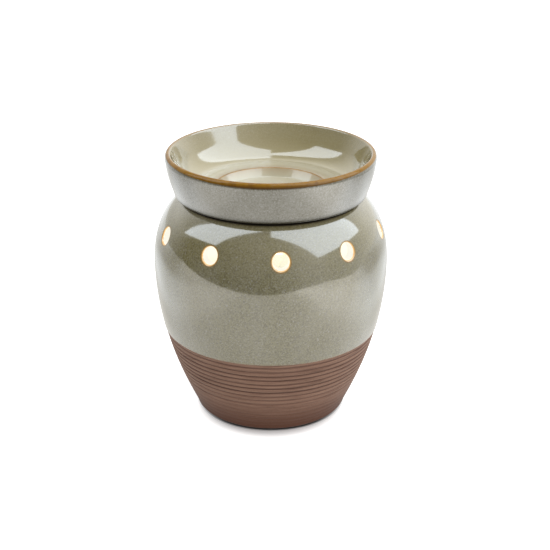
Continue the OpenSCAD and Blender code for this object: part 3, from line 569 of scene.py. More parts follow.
def glaze_finish(name, tones, fleck_shift=0.0, body_tint=(1, 1, 1), drift=0.0, ior=1.62):
    """Glossy speckled glaze: olive and lavender flecks in a grey-olive body, and amber where it breaks.

    The marks say where it pools, lies satin on the dish's floor, breaks amber over an edge,
    darkens with painted shade at the amber's lower edge or in the seam, or glows with painted lamp light at a
    port.
    """
    f = Finish(name)
    satin, shade = f.mark("satin"), f.mark("shade")
    grain = f.noise(0.72 * MM, detail=1.5)
    fleck = f.noise(1.1 * MM, detail=1.0, seed=3.7)
    cloud = f.noise(16 * MM, detail=3, stretch=(1, 1, 2.2), seed=9.1)
    body = [v * t for v, t in zip(tones.glaze, body_tint)]
    base = f.ramp(f.math("ADD", grain, fleck_shift), [
        (0.30, tones.glaze_dark), (0.45, body), (0.56, body), (0.70, tones.glaze_pale),
    ])
    olive = f.mix(f.span(fleck, 0.50, 0.64, 0.0, 0.6), base, tones.glaze_dark)
    clouded = f.mix(f.span(cloud, 0.35, 0.68, 0.0, 0.2), olive, tones.glaze_pale)
    clouded = f.mix(f.span(f.height(), 90 * MM, 120 * MM, 0.0, drift), clouded, tones.pool)
    clouded = f.mix(f.mark("pool"), clouded, tones.pool)
    clouded = f.mix(f.math("MULTIPLY", satin, 0.9), clouded, tones.dish_floor)
    broken = f.noise(3.2 * MM, detail=3, seed=5.3)
    amber = f.mix(f.span(broken, 0.46, 0.74), tones.amber, tones.amber_dark)
    # Painted shade: the amber darkens towards its lower edge below the rim
    amber = f.mix(f.mark("burnt"), amber, tones.burnt)
    share = f.math("MULTIPLY", f.mark("amber"), f.span(broken, 0.22, 0.46, 0.75, 1.0))
    shown = f.mix(share, clouded, amber)
    smooth = f.span(cloud, 0.3, 0.7, 0.10, 0.16)
    dull = f.math("MAXIMUM", shade, satin)
    bare = f.math("MAXIMUM", share, f.math("MAXIMUM", shade, f.math("MULTIPLY", satin, 0.2)))
    f.set(
        Base_Color=f.mix(shade, shown, tones.seam),
        Roughness=f.math("MULTIPLY_ADD", dull, 0.2, smooth),
        IOR=ior,
        Coat_Weight=f.span(bare, 0.0, 1.0, 1.0, 0.0, smooth=False),
        Coat_Roughness=0.035,
        Coat_IOR=1.55,
    )
    # Painted lamp light: the ports' rounded edges glow warm
    f.glow(tones.edge_light, f.mark("glow"))
    f.bump(f.noise(7 * MM, detail=2, seed=1.9), 0.05 * MM, 0.35)
    return f.material


def clay_finish(name, tones):
    """Bare turned clay: fine grain and streaks, painted shade in its grooves, darker and redder low on the
    foot.
    """
    f = Finish(name)
    grain = f.noise(0.5 * MM, detail=3)
    streak = f.noise(0.7 * MM, detail=2, stretch=(30, 30, 1), seed=2.3)
    patchy = f.noise(14 * MM, detail=2, stretch=(1, 1, 0.5), seed=4.4)
    base = f.ramp(streak, [(0.18, tones.clay_dark), (0.5, tones.clay), (0.8, tones.clay_pale)])
    base = f.mix(f.span(patchy, 0.35, 0.7, 0.0, 0.5), base, tones.clay)
    base = f.mix(f.span(grain, 0.52, 0.74, 0.0, 0.4), base, tones.clay_dark)
    # Painted shade in the turned grooves, where the groove mark is set
    base = f.mix(f.mark("groove"), base, tones.clay_dark)
    f.set(
        Base_Color=f.mix(f.span(f.height(), 2 * MM, 26 * MM, 0.9, 0.0), base, tones.clay_low),
        Roughness=f.span(grain, 0.3, 0.7, 0.62, 0.8),
        IOR=1.3,
        Sheen_Weight=0.1,
        Sheen_Roughness=0.45,
    )
    f.bump(grain, 0.06 * MM, 0.6)
    return f.material


def liner_finish(name, tones):
    """Cream wash inside the jar with painted lamp light: it glows brighter upwards from the floor, and in the
    ports.
    """
    f = Finish(name)
    wash = f.noise(9 * MM, detail=3)
    shade = f.mix(f.span(wash, 0.35, 0.7, 0.0, 0.25), tones.liner, tones.lamp_light)
    # Painted lamp light: a glow that grows with height and is full where marked lit, over a near-black base
    # there
    lit = f.mark("lit")
    level = f.math("MAXIMUM", f.span(f.height(), 15 * MM, 85 * MM, 0.12, 0.92), lit)
    f.set(
        Base_Color=f.mix(lit, shade, (0.03, 0.03, 0.03)),
        Roughness=f.span(wash, 0.3, 0.7, 0.45, 0.6),
    )
    f.glow(tones.lamp_light, level)
    return f.material


# Stretch of a metal's brushed grain along X, Y and Z
BRUSHED_ROUND, BRUSHED_ALONG = (6, 6, 1), (8, 1, 1)


def metal_finish(name, pale, dark, roughness, grain, stretch=(1, 1, 1), level=0.0):
    """Bare or plated metal: two tones in patches, brushed grain in roughness and relief, a glow if lit."""
    f = Finish(name)
    patchy = f.noise(4 * MM, detail=3, seed=1.1)
    brushed = f.noise(grain, detail=2, stretch=stretch)
    f.set(
        Base_Color=f.mix(f.span(patchy, 0.35, 0.72), pale, dark),
        Metallic=1.0,
        Roughness=f.span(brushed, 0.3, 0.7, roughness * 0.75, roughness * 1.3),
    )
    f.glow(pale, level)
    f.bump(brushed, 0.01 * MM, 0.5)
    return f.material


def moulded_finish(name, tone, worn, roughness, grain, depth):
    """Rubber, paint or moulded black: one tone, worn paler in patches, with a fine relief."""
    f = Finish(name)
    patchy = f.noise(8 * MM, detail=3, seed=6.6)
    relief = f.noise(grain, detail=2)
    f.set(
        Base_Color=f.mix(f.span(patchy, 0.5, 0.8, 0.0, 0.6), tone, worn),
        Roughness=f.span(relief, 0.3, 0.7, roughness * 0.85, roughness * 1.15),
    )
    f.bump(relief, depth, 0.6)
    return f.material


def porcelain_finish(name):
    """White glazed porcelain: warm white with faint clouds and a few iron specks."""
    f = Finish(name)
    cloud = f.noise(11 * MM, detail=2)
    speck = f.noise(1.2 * MM, detail=1, seed=8.8)
    white = f.mix(f.span(cloud, 0.35, 0.7), srgb(233, 229, 217), srgb(222, 216, 201))
    f.set(
        Base_Color=f.mix(f.span(speck, 0.72, 0.8, 0.0, 0.5), white, srgb(150, 128, 100)),
        Roughness=f.span(cloud, 0.3, 0.7, 0.16, 0.24),
        Coat_Weight=0.6,
        Coat_Roughness=0.05,
    )
    f.bump(f.noise(3 * MM, detail=2), 0.03 * MM, 0.4)
    return f.material


def glass_finish(name):
    """Clear blown glass with a faint waviness."""
    f = Finish(name)
    wave = f.noise(6 * MM, detail=1)
    f.set(
        Base_Color=f.mix(f.span(wave, 0.3, 0.7), (1.0, 1.0, 1.0), (0.97, 0.985, 0.98)),
        Roughness=0.0,
        IOR=1.5,
        Transmission_Weight=1.0,
    )
    f.bump(wave, 0.02 * MM, 0.3)
    return f.material


def filament_finish(name):
    """Tungsten wire that glows, hottest in the middle of its coil."""
    f = Finish(name)
    reach = f.math("ABSOLUTE", f.axes(f.coords)["X"])
    f.set(
        Base_Color=f.ramp(f.noise(0.6 * MM), [(0.3, srgb(90, 84, 78)), (0.7, srgb(140, 132, 122))]),
        Metallic=1.0,
        Roughness=0.4,
    )
    f.glow((1.0, 0.72, 0.36), f.span(reach, 4 * MM, 8.5 * MM, 5.0, 1.2))
    return f.material


def jar_wall(jar):
    """Outside and inside of the wall as dense lines of (radius, height): two cubic curves, then moved in."""
    foot = np.array([jar.foot_d / 2, JAR_LOW.z])
    belly = np.array([jar.belly_d / 2, jar.belly_z])
    lip = np.array([jar.lip_d / 2, JAR_HIGH.z])
    foot_way = np.array([math.sin(jar.foot_lean), math.cos(jar.foot_lean)])
    lip_way = np.array([math.cos(jar.lip_slope), -math.sin(jar.lip_slope)])
    up = np.array([0, 1])
    lower = foot, foot + jar.foot_reach * foot_way, belly - jar.reach_low * up, belly
    upper = belly, belly + jar.reach_up * up, lip + jar.lip_reach * lip_way, lip
    t = np.linspace(0, 1, 400)
    outside, inside = [], []
    for curve in (lower, upper):
        way = bezier_way(curve, t)
        outside.append(bezier(curve, t))
        inside.append(outside[-1] + jar.wall * np.stack([-way[:, 1], way[:, 0]], 1))
    return [np.concatenate([below, above[1:]]) for below, above in (outside, inside)]


def radius_at(wall, z):
    """Radius of a wall's line at a height."""
    return np.interp(z, wall[:, 1], wall[:, 0])


def wall_line(wall, low, high, count):
    """Points of (radius, height) on a wall's line at even heights."""
    z = np.linspace(low, high, count)
    return np.stack([radius_at(wall, z), z], 1)


def groove_strength(z, angle, grooves):
    """How deep the grooves are cut: raised cosines about heights that wander round the jar."""
    random = np.random.default_rng(seed=11)
    height = grooves.first_z + np.arange(grooves.count) * grooves.pitch
    uneven = 0.75 + 0.5 * random.random(grooves.count)
    deep = uneven * np.interp(height, [grooves.faint_z, grooves.full_z], [0.25, 1])
    phase = 2 * math.pi * random.random((2, grooves.count))
    lift = np.sin(angle[:, None] + phase[0]) + 0.5 * np.sin(3 * angle[:, None] + phase[1])
    centre = height + grooves.wander * lift
    away = np.abs(z[:, None, None] - centre[None]) / grooves.width
    cut = np.where(away < 0.5, 0.5 + 0.5 * np.cos(2 * math.pi * away), 0.0)
    return (cut * deep).sum(-1)


def port_rows(ports, outside, inside):
    """Wall round one port that faces -Y: the band's outside, the rounded bore and the band's inside.

    A border of (sideways, height) points blends into a circle, with its corners at 30 degrees from level.
    A point at sideways x and height z lies on a wall of radius R at depth sqrt(R(z)^2 - x^2), and quarter
    circles round the edges into the bore.
    """
    across, up, corner = COLUMNS // ports.count, 14, 30
    half, flat = math.pi / ports.count, 180 - 2 * corner
    low, tall = ports.height - ports.band, 2 * ports.band
    i, j = np.arange(across) / across, np.arange(up) / up
    turn = half * np.concatenate([2 * i - 1, 1 + 0 * j, 1 - 2 * i, 0 * j - 1])
    border_z = low + tall * np.concatenate([0 * i, j, 1 + 0 * i, 1 - j])
    below, beside = flat * i - 180 + corner, 2 * corner * j - corner
    ring = np.radians(np.concatenate([below, beside, flat * i + corner, beside + 180]))

    def on_wall(wall, share, radius, sink):
        """Border and circle mixed by a share, laid on a wall and sunk below it."""
        x = share * radius_at(wall, border_z) * np.sin(turn) + (1 - share) * radius * np.cos(ring)
        z = share * border_z + (1 - share) * (ports.height + radius * np.sin(ring))
        depth = np.sqrt(radius_at(wall, z) ** 2 - x ** 2) - sink
        return np.stack([x, -depth, z], -1)

    bore_r, edge_r = ports.diameter / 2, ports.diameter / 2 + ports.edge
    spread = np.linspace(1, 0, 12)[:, None] ** 2
    quarter = np.radians(np.linspace(0, 90, 7))[1:, None]
    wider, sunk = ports.edge * (1 - np.sin(quarter)), ports.edge * (1 - np.cos(quarter))
    rows_out = on_wall(outside, spread, edge_r, 0.0)
    edge_out = on_wall(outside, 0.0, bore_r + wider, sunk)
    edge_in = on_wall(inside, 0.0, bore_r + wider[::-1], -sunk[::-1])
    rows_in = on_wall(inside, spread[::-1], edge_r, 0.0)
    bore = edge_out[-1] + np.linspace(0, 1, 6)[:, None, None] * (edge_in[0] - edge_out[-1])

    amber_share, amber_w = 0.6, 0.5 * MM
    on_edge = 0 * edge_out[..., 0]
    away = np.hypot(rows_out[..., 0], rows_out[..., 2] - ports.height) - edge_r
    amber = amber_share * np.clip(1 - np.concatenate([away, on_edge]) / amber_w, 0, 1)
    # Painted lamp light: the port's rounded outer edge glows, and its bore and inner edge glow fully
    glow = np.concatenate([0 * away, np.sin(quarter) ** 2 + on_edge])
    lit = np.concatenate([1 + 0 * bore[..., 0], 1 + 0 * edge_in[1:, :, 0], 0 * rows_in[..., 0]])
    front, behind = np.concatenate([rows_out, edge_out]), np.concatenate([bore, edge_in[1:], rows_in])
    return (front, amber, glow), (behind, lit)


def turn_about_axis(points, angle):
    """Points turned about the upright axis, from the front towards +X."""
    x, y, z = points[..., 0], points[..., 1], points[..., 2]
    c, s = math.cos(angle), math.sin(angle)
    return np.stack([x * c - y * s, x * s + y * c, z], -1)


def jar_patches(jar, grooves, ports):
    """Patches of the jar: chamber, under the foot, up the outside, over the lip and in again, and ports."""
    outside, inside = jar_wall(jar)
    start = ports.turn - math.pi / ports.count
    low, high = ports.height - ports.band, ports.height + ports.band
    foot_z, seat_z = JAR_LOW.z, JAR_HIGH.z
    floor_z, under_z = jar.floor_z, jar.floor_z - jar.floor_t
    hole_r, hollow_r, mouth_r = jar.floor_hole_d / 2, jar.hollow_d / 2, jar.mouth_d / 2

    curve_z = floor_z + jar.floor_curve
    curve_r = radius_at(inside, curve_z)
    corner_r = curve_r - jar.floor_curve * math.tan(jar.foot_lean)
    flat_r = corner_r - jar.floor_curve
    chamber = np.concatenate([
        wall_line(inside, low, curve_z, 36),
        bend((curve_r, curve_z), (corner_r, floor_z), (flat_r, floor_z))[1:],
        line((flat_r, floor_z), (hole_r, floor_z), 8)[1:],
    ])

    inner_round = 0.6 * MM
    foot_r = jar.foot_d / 2 - jar.foot_round * math.tan((math.pi / 2 - jar.foot_lean) / 2)
    foot_arc = arc((foot_r, foot_z + jar.foot_round), jar.foot_round, -90, -math.degrees(jar.foot_lean))
    under = np.concatenate([
        line((hole_r, floor_z), (hole_r, under_z), 2),
        rounded([
            (hole_r, under_z, 0), (hollow_r, under_z, jar.hollow_round),
            (hollow_r, foot_z, inner_round), (foot_r, foot_z, 0),
        ])[1:],
        foot_arc[1:],
    ])

    settle_h = 2 * MM
    angle = around(COLUMNS, start)
    clay_z = np.append(np.arange(foot_arc[-1, 1], grooves.glaze_z, grooves.pitch / 10), grooves.glaze_z)
    clay_r = radius_at(outside, clay_z) - grooves.glaze_t * np.clip((clay_z - clay_z[0]) / settle_h, 0, 1)
    clay_r[0] = foot_arc[-1, 0]
    strength = groove_strength(clay_z, angle, grooves)
    clay = revolved(clay_r[:, None] - grooves.depth * strength, clay_z[:, None], angle)

    thin_h, thin_amber = 1.1 * MM, 0.25
    roll = np.radians(np.linspace(0, 90, 6))
    bead_z = grooves.glaze_z + 2 * grooves.glaze_t * (1 - np.cos(roll))
    bead_r = radius_at(outside, bead_z) - grooves.glaze_t * (1 - np.sin(roll))
    belly = np.concatenate([np.stack([bead_r, bead_z], 1), wall_line(outside, bead_z[-1], low, 56)[1:]])
    thin = thin_amber * np.clip(1 - (belly[:, 1:] - grooves.glaze_z) / thin_h, 0, 1)

    lip_drop, seam_w, seam_soft = 1.5 * MM, 3.6 * MM, 0.9 * MM
    rise = wall_line(outside, high, seat_z - lip_drop, 16)
    slope = (rise[-1] - rise[-2]) / np.linalg.norm(rise[-1] - rise[-2])
    tip = rise[-1] + slope * (seat_z - rise[-1, 1]) / slope[1]
    lip_under = inside[-1]
    lip = rounded([
        (*rise[-1], 0), (*tip, jar.lip_round), (mouth_r, seat_z, jar.mouth_round),
        (mouth_r, lip_under[1], jar.mouth_round), (*lip_under, 0),
    ], steps=8)
    shoulder = np.concatenate([rise, lip[1:]])
    # Painted shade on the shoulder just below the dish, where the seam lies in shadow
    seam = np.clip((seam_w - np.linalg.norm(shoulder - tip, axis=1)) / seam_soft, 0, 1)[:, None]
    hidden = wall_line(inside, lip_under[1], high, 12)

    patches = [
        patch(turned(chamber, start=start), LINER),
        # The groove mark darkens the clay: painted shade in the grooves by their depth, and a little on the
        # underside
        patch(turned(under, start=start), CLAY, groove=0.15),
        patch(clay, CLAY, groove=np.clip(0.9 * strength, 0, 1)),
        patch(turned(belly, start=start), GLAZE, amber=thin),
        patch(turned(shoulder, start=start), GLAZE, shade=seam),
        patch(turned(hidden, start=start), LINER),
    ]
    (front, amber, glow), (behind, lit) = port_rows(ports, outside, inside)
    for way in around(ports.count, ports.turn):
        patches.append(patch(turn_about_axis(front, way), GLAZE, amber=amber, glow=glow))
        patches.append(patch(turn_about_axis(behind, way), LINER, lit=lit))
    return patches


def box_mesh(name, low, high, finishes, finish):
    """Closed box between two corners, used to cut a notch."""
    sides = [(0, 1, 3, 2), (4, 6, 7, 5), (0, 4, 5, 1), (2, 3, 7, 6), (0, 2, 6, 4), (1, 5, 7, 3)]
    corners = np.stack(np.meshgrid(*zip(low, high), indexing="ij"), -1).reshape(-1, 3)
    mesh = bpy.data.meshes.new(name)
    mesh.from_pydata(corners.tolist(), [], sides)
    for material in finishes:
        mesh.materials.append(material)
    mesh.polygons.foreach_set("material_index", np.full(len(sides), finish, np.int32))
    return mesh


def cut_notch(piece, low, high, finish, most=5000):
    """Cuts a box out of a piece and keeps the result as its mesh, unless this many points are lost by it."""
    cutter = bpy.data.objects.new("notch", box_mesh("notch", low, high, piece.data.materials, finish))
    bpy.context.scene.collection.objects.link(cutter)
    step = piece.modifiers.new("notch", "BOOLEAN")
    step.operation, step.solver, step.object = "DIFFERENCE", "EXACT", cutter
    graph = bpy.context.evaluated_depsgraph_get()
    shown = piece.evaluated_get(graph)
    cut = bpy.data.meshes.new_from_object(shown, preserve_all_data_layers=True, depsgraph=graph)
    piece.modifiers.remove(step)
    bpy.data.objects.remove(cutter)
    if len(cut.vertices) <= len(piece.data.vertices) - most:
        raise RuntimeError(f"cutting {piece.name} took too much away")
    piece.data = cut
    cut.set_sharp_from_angle(angle=math.radians(SHARP))


class WARMER_OT_jar(Operator):
    """Build the glazed stoneware jar with its grooves and light ports"""

    bl_idname = "warmer.make_jar"
    bl_label = "Jar"

    def execute(self, context):
        scene = context.scene
        sizes, tones = scene.warmer_jar, scene.warmer_colours
        finishes = [
            glaze_finish("jar_glaze", tones, drift=0.22),
            clay_finish("bare_clay", tones),
            liner_finish("cream_liner", tones),
        ]
        patches = jar_patches(sizes, scene.warmer_grooves, scene.warmer_ports)
        jar = place("jar", patches, finishes, "pot", "glaze", "jar_body")
        below = 5 * MM
        low = (-sizes.notch_w / 2, sizes.hollow_d / 2 - sizes.wall, JAR_LOW.z - below)
        high = (sizes.notch_w / 2, sizes.belly_d / 2, sizes.notch_z)
        cut_notch(jar, low, high, CLAY)
        return {"FINISHED"}


def dish_patches(dish):
    """Patches of the dish: bare spigot and seat, then the glazed side, rim, inner wall, floor and well.

    At a share u of its height the side has the radius base + flare u + 4 swell u (1 - u).
    """
    seat_z, rim_z, spigot_z = JAR_HIGH.z, DISH_HIGH.z, DISH_LOW.z
    rise, flare = rim_z - seat_z, (dish.rim_d - dish.base_d) / 2

    def side_r(z):
        """Radius of the side at a height."""
        u = (z - seat_z) / rise
        return dish.base_d / 2 + flare * u + dish.swell * 4 * u * (1 - u)

    def lean(z):
        """Lean of the side from upright at a height, in degrees."""
        u = (z - seat_z) / rise
        return math.degrees(math.atan((flare + dish.swell * 4 * (1 - 2 * u)) / rise))

    step = (dish.rim_round - dish.lip_round) * np.array([math.cos(dish.rim_turn), math.sin(dish.rim_turn)])
    low_z, top_z = seat_z + dish.base_round, rim_z - dish.lip_round - step[1]
    floor_z = seat_z + dish.floor_t
    well_z = floor_z - dish.well_depth
    spigot_r, well_r, well_foot = dish.spigot_d / 2, dish.well_d / 2, dish.well_d / 2 - dish.well_slope
    base_c = (side_r(low_z) - dish.base_round, low_z)
    rim_c = np.array([side_r(top_z) - dish.rim_round, top_z])
    lip_c = rim_c + step
    bowl_top = lip_c + dish.lip_round * np.array([-math.cos(dish.bowl_lean), math.sin(dish.bowl_lean)])
    slope = math.tan(dish.bowl_lean)
    wall_end = (bowl_top[0] - (bowl_top[1] - floor_z - dish.curve_rise) * slope, floor_z + dish.curve_rise)
    corner = (wall_end[0] - dish.curve_rise * slope, floor_z)
    floor_edge = (corner[0] - dish.curve, floor_z)

    spigot_corner = 0.5 * MM
    foot = rounded([
        (0, spigot_z, 0), (spigot_r / 2, spigot_z, 0), (spigot_r, spigot_z, dish.spigot_round),
        (spigot_r, seat_z, spigot_corner), (base_c[0], seat_z, 0),
    ])
    rim_steps, lip_steps = 14, 16
    rim_start, rim_end = -lean(top_z), math.degrees(dish.rim_turn)
    lip_end = 180 - math.degrees(dish.bowl_lean)
    base = arc(base_c, dish.base_round, -90, -lean(low_z))
    side_z = np.linspace(low_z, top_z, 22)[1:-1]
    side = np.stack([side_r(side_z), side_z], 1)
    rim = arc(rim_c, dish.rim_round, rim_start, rim_end, rim_steps)
    lip = arc(lip_c, dish.lip_round, rim_end, lip_end, lip_steps)
    turn = np.append(line(rim_start, rim_end, rim_steps), line(rim_end, lip_end, lip_steps)[1:])
    wall = line(bowl_top, wall_end, 8)
    curve = bend(wall_end, corner, floor_edge, 26)
    well = rounded([
        (*floor_edge, 0), (well_r, floor_z, dish.well_round),
        (well_foot, well_z, dish.well_round), (0, well_z, 0),
    ], steps=8)
    middle = line((well_foot - 2 * dish.well_round, well_z), (0, well_z), 10)
    glazed = np.concatenate([base, side, rim, lip[1:], wall[1:], curve[1:], well[1:-1], middle[1:]])

    # Direction of the surface in degrees: below level on the side, along the rim's turn, and 180 inside
    first = len(base) + len(side)
    angle = np.full(len(glazed), 180.0)
    angle[:first] = -90
    angle[first:first + len(turn)] = turn
    r, z = glazed.T

    # The amber starts lower at the front and back than at the sides; keeping it off the sides paints the pale
    # reflection they show. At the front and back its lower edge is darkened with painted shade.
    amber_start, amber_later, amber_soft, crest_turn = 1, 28, 7, 95
    aside = np.sin(around(COLUMNS)) ** 2
    begun = np.clip((angle[:, None] - amber_start - amber_later * aside) / amber_soft, 0, 1)
    at_rim = np.minimum(begun, np.interp(angle, [crest_turn, 125, 155], [1, 0.4, 0])[:, None])
    well_edge_w, satin_h = 0.6 * MM, 1.5 * MM
    at_well = np.clip(1.4 - np.hypot(r - well_r, z - floor_z) / well_edge_w, 0, 1)
    # Painted shade on the dish's bottom rounding just above the seam
    under = np.interp((z - seat_z) / dish.base_round, [0.15, 0.3, 0.9, 1.2], [1, 0.6, 0.5, 0])
    deep = np.clip((rim_z - z) / (rim_z - floor_z), 0, 1)
    marks = {
        "amber": np.maximum(at_rim, at_well[:, None]),
        "burnt": np.interp(angle, [0, 5, 14, 42], [0.5, 1, 0.85, 0])[:, None] * (1 - aside),
        "pool": (np.interp(angle, [crest_turn, 130], [0, 1]) * (0.6 + 0.4 * deep))[:, None],
        "shade": ((r > spigot_r) * (angle < 0) * under)[:, None],
        "satin": ((angle > 179) * np.interp(z, [floor_z, floor_z + satin_h], [1, 0]))[:, None],
    }
    # The groove mark darkens the dish's bare foot a little
    patches = [patch(turned(foot), CLAY, groove=0.1)]
    crest = first + np.searchsorted(turn, crest_turn)
    for start, end, finish in ((0, first, GLAZE), (first, crest, RIM), (crest, len(glazed) - 1, GLAZE)):
        rows = slice(start, end + 1)
        shown = {name: mark[rows] for name, mark in marks.items()}
        patches.append(patch(turned(glazed[rows]), finish, **shown))
    return patches


class WARMER_OT_dish(Operator):
    """Build the wax dish that rests in the jar's mouth"""

    bl_idname = "warmer.make_dish"
    bl_label = "Wax dish"

    def execute(self, context):
        tones, fleck_shift = context.scene.warmer_colours, 0.03
        finishes = [
            glaze_finish("dish_glaze", tones, fleck_shift, tones.dish_tint),
            clay_finish("dish_clay", tones),
            glaze_finish("rim_glaze", tones, fleck_shift, tones.dish_tint, ior=1.3),
        ]
        place("dish", dish_patches(context.scene.warmer_dish), finishes, "dish", "dish_glaze", "wax_dish")
        return {"FINISHED"}


def thread_rows(mean, low, high, out, lamp):
    """Rows of mean radius, height and wave for a thread whose wave fades over half a pitch at each end.

    Where it fades, the mean radius grows to the thread's crests if out is 1, or shrinks to its roots if -1.
    """
    steps_a_turn = 10
    z = np.linspace(low, high, int((high - low) / lamp.pitch * steps_a_turn) + 1)
    ease = np.clip(2 * np.minimum(z - low, high - z) / lamp.pitch, 0, 1)
    return np.stack([mean + out * lamp.thread_wave * (1 - ease), z, lamp.thread_wave * ease], 1)


def plain_rows(*profile):
    """Rows without a thread from points of (radius, height)."""
    return np.column_stack([profile, np.zeros(len(profile))])


def glass_profile(lamp, inset):
    """Outside of the glass from its neck to the top, moved in by a depth."""
    neck_r = lamp.neck_d / 2 - inset
    skirt_r = CAP_HIGH.x - lamp.sheet - lamp.gap - inset
    full_r = (GLASS_HIGH.x - GLASS_LOW.x) / 2
    glass_r, crown_z, seat_z = full_r - inset, GLASS_HIGH.z - full_r, CAP_HIGH.z
    shoulder_z = crown_z - lamp.straight
    neck = rounded([
        (neck_r, GLASS_LOW.z, 0),
        (neck_r, seat_z - lamp.skirt_h, 2 * MM),
        (skirt_r, seat_z, 1.5 * MM),
        (skirt_r + 1 * MM, seat_z + 1.6 * MM, 0),
    ])
    swell = bend((skirt_r, seat_z), (glass_r, seat_z + (shoulder_z - seat_z) / 3), (glass_r, shoulder_z), 24)
    crown = arc((0, crown_z), glass_r, 0, 90, 28)
    return np.concatenate([neck[:-1], swell[3:], crown])


def stem_loops(lamp):
    """Glass stem: superellipses at rising heights, from a flared disc to a tube and a flat pinch."""
    low, high = STEM_LOW.z, STEM_HIGH.z
    tube, wide, thick = lamp.stem_d / 2, lamp.pinch_w / 2, lamp.pinch_t / 2
    flare, pinch_z = lamp.neck_d / 2 - lamp.glass_t, high - lamp.pinch_h
    loops = np.array([
        (low, 0, 0, 2),
        (low, flare, flare, 2),
        (low + 0.8 * MM, flare, flare, 2),
        (low + 1.6 * MM, tube * 1.3, tube * 1.3, 2),
        (low + 4 * MM, tube, tube, 2),
        (pinch_z - 3 * MM, tube, tube, 2),
        (pinch_z - 1 * MM, tube * 1.05, tube * 0.9, 2.2),
        (pinch_z + 1 * MM, wide * 0.9, thick * 1.2, 3),
        (pinch_z + 2 * MM, wide, thick, 4),
        (high - 0.5 * MM, wide, thick, 4),
        (high, wide * 0.8, thick * 0.6, 4),
        (high, 0, 0, 4),
    ])
    z, half_x, half_y, power = loops.T[:, :, None]
    x, y = superellipse(half_x, half_y, power, around(40))
    return np.stack([x, y, z + 0 * x], -1)


def coil_tube(lamp):
    """Filament: a tube round the helix (x, R cos t, R sin t).

    Its section is a circle in the directions of the radius and across both the radius and the wire.
    """
    centre_z = (COIL_LOW.z + COIL_HIGH.z) / 2
    wire_r = lamp.coil_wire / 2
    coil_r = (COIL_HIGH.z - COIL_LOW.z) / 2 - wire_r
    reach = COIL_HIGH.x - COIL_LOW.x - 2 * wire_r
    whole_turn = 2 * math.pi * lamp.coil_turns
    share = np.linspace(0, 1, lamp.coil_turns * 14 + 1)
    c, s, zero = np.cos(whole_turn * share), np.sin(whole_turn * share), 0 * share
    centre = np.stack([(share - 0.5) * reach, coil_r * c, centre_z + coil_r * s], -1)
    out = np.stack([zero, c, s], -1)
    way = np.stack([zero + reach / whole_turn, -coil_r * s, coil_r * c], -1)
    side = np.cross(way / np.linalg.norm(way, axis=1)[:, None], out)
    ring = around(8)[:, None]
    size = np.where((share == 0) | (share == 1), 0.0, wire_r)[:, None, None]
    return centre[:, None] + size * (np.cos(ring) * out[:, None] + np.sin(ring) * side[:, None])


def cap_rows(lamp):
    """Threaded cap: from the opening in its bottom up the thread to the skirt, and back down the bore."""
    mean = lamp.thread_d / 2 - lamp.thread_wave
    bore_r, hole_r, skirt_r = mean - lamp.thread_wave - lamp.sheet, lamp.cap_hole_d / 2, CAP_HIGH.x
    low, high = CAP_LOW.z, CAP_HIGH.z
    top = high - lamp.skirt_h
    middle = top + lamp.skirt_h / 2
    return np.concatenate([
        plain_rows((hole_r, low)),
        thread_rows(mean, low, top, -1, lamp),
        plain_rows(
            (skirt_r - 0.4 * MM, middle - 0.5 * MM), (skirt_r, middle), (skirt_r, high),
            (skirt_r - lamp.sheet, high), (skirt_r - lamp.sheet, middle), (bore_r, top),
            (bore_r, low + lamp.sheet), (hole_r, low + lamp.sheet),
        ),
    ])


def plug_profile(lamp):
    """Insulator: a cone below the cap and a short cylinder in its opening."""
    tip_r, plug_r = lamp.plug_tip_d / 2, lamp.cap_hole_d / 2 - lamp.gap
    return rounded([
        (0, PLUG_LOW.z, 0), (tip_r, PLUG_LOW.z, 0.3 * MM), (plug_r, CAP_LOW.z, 0.4 * MM),
        (plug_r, PLUG_HIGH.z, 0.3 * MM), (0, PLUG_HIGH.z, 0),
    ])


def tip_profile():
    """Solder tip: a button, rounded below."""
    tip_r = TIP_HIGH.x
    return rounded([
        (0, TIP_LOW.z, 0), (tip_r, TIP_LOW.z, 0.45 * MM), (tip_r, TIP_HIGH.z, 0.1 * MM), (0, TIP_HIGH.z, 0),
    ])


class WARMER_OT_lamp(Operator):
    """Build the lamp: glass, threaded cap, insulator, tip, stem and coiled filament"""

    bl_idname = "warmer.make_lamp"
    bl_label = "Lamp"

    def execute(self, context):
        lamp = context.scene.warmer_lamp
        clear = glass_finish("clear_glass")
        outer, inner = glass_profile(lamp, 0.0), glass_profile(lamp, lamp.glass_t)
        sides = [patch(turned(np.concatenate([inner[:1], outer]), 96)), patch(turned(inner, 96))]
        place("bulb", sides, [clear], "lamp", "lamp_glass", "bulb_glass")
        place("stem", [patch(stem_loops(lamp))], [clear], "lamp", "lamp_glass", "glass_stem")

        nickel = metal_finish(
            "nickel_cap", srgb(205, 200, 190), srgb(176, 168, 154), 0.24, 0.5 * MM, BRUSHED_ROUND
        )
        cap = patch(wound(cap_rows(lamp), lamp.pitch), close=True)
        place("cap", [cap], [nickel], "lamp", "cap_nickel", "bulb_cap")

        black = moulded_finish(
            "black_insulator", srgb(24, 23, 26), srgb(44, 42, 46), 0.16, 0.8 * MM, 0.01 * MM
        )
        plug = patch(turned(plug_profile(lamp), 64))
        place("insulator", [plug], [black], "lamp", "insulator", "cap_insulator")

        solder = metal_finish("solder_tip", srgb(190, 186, 176), srgb(146, 140, 128), 0.38, 0.4 * MM)
        place("tip", [patch(turned(tip_profile(), 48))], [solder], "lamp_tip", "brass", "bulb_tip")

        tungsten = filament_finish("glowing_tungsten")
        place("coil", [patch(coil_tube(lamp))], [tungsten], "lamp", "filament", "filament")
        # Painted light: the lead wires glow pale, though they give no light of their own
        wire = metal_finish(
            "lit_lead_wire", srgb(225, 218, 196), srgb(196, 188, 168), 0.3, 0.3 * MM, level=0.7
        )
        dress(wire, "lead_wires")
        return {"FINISHED"}


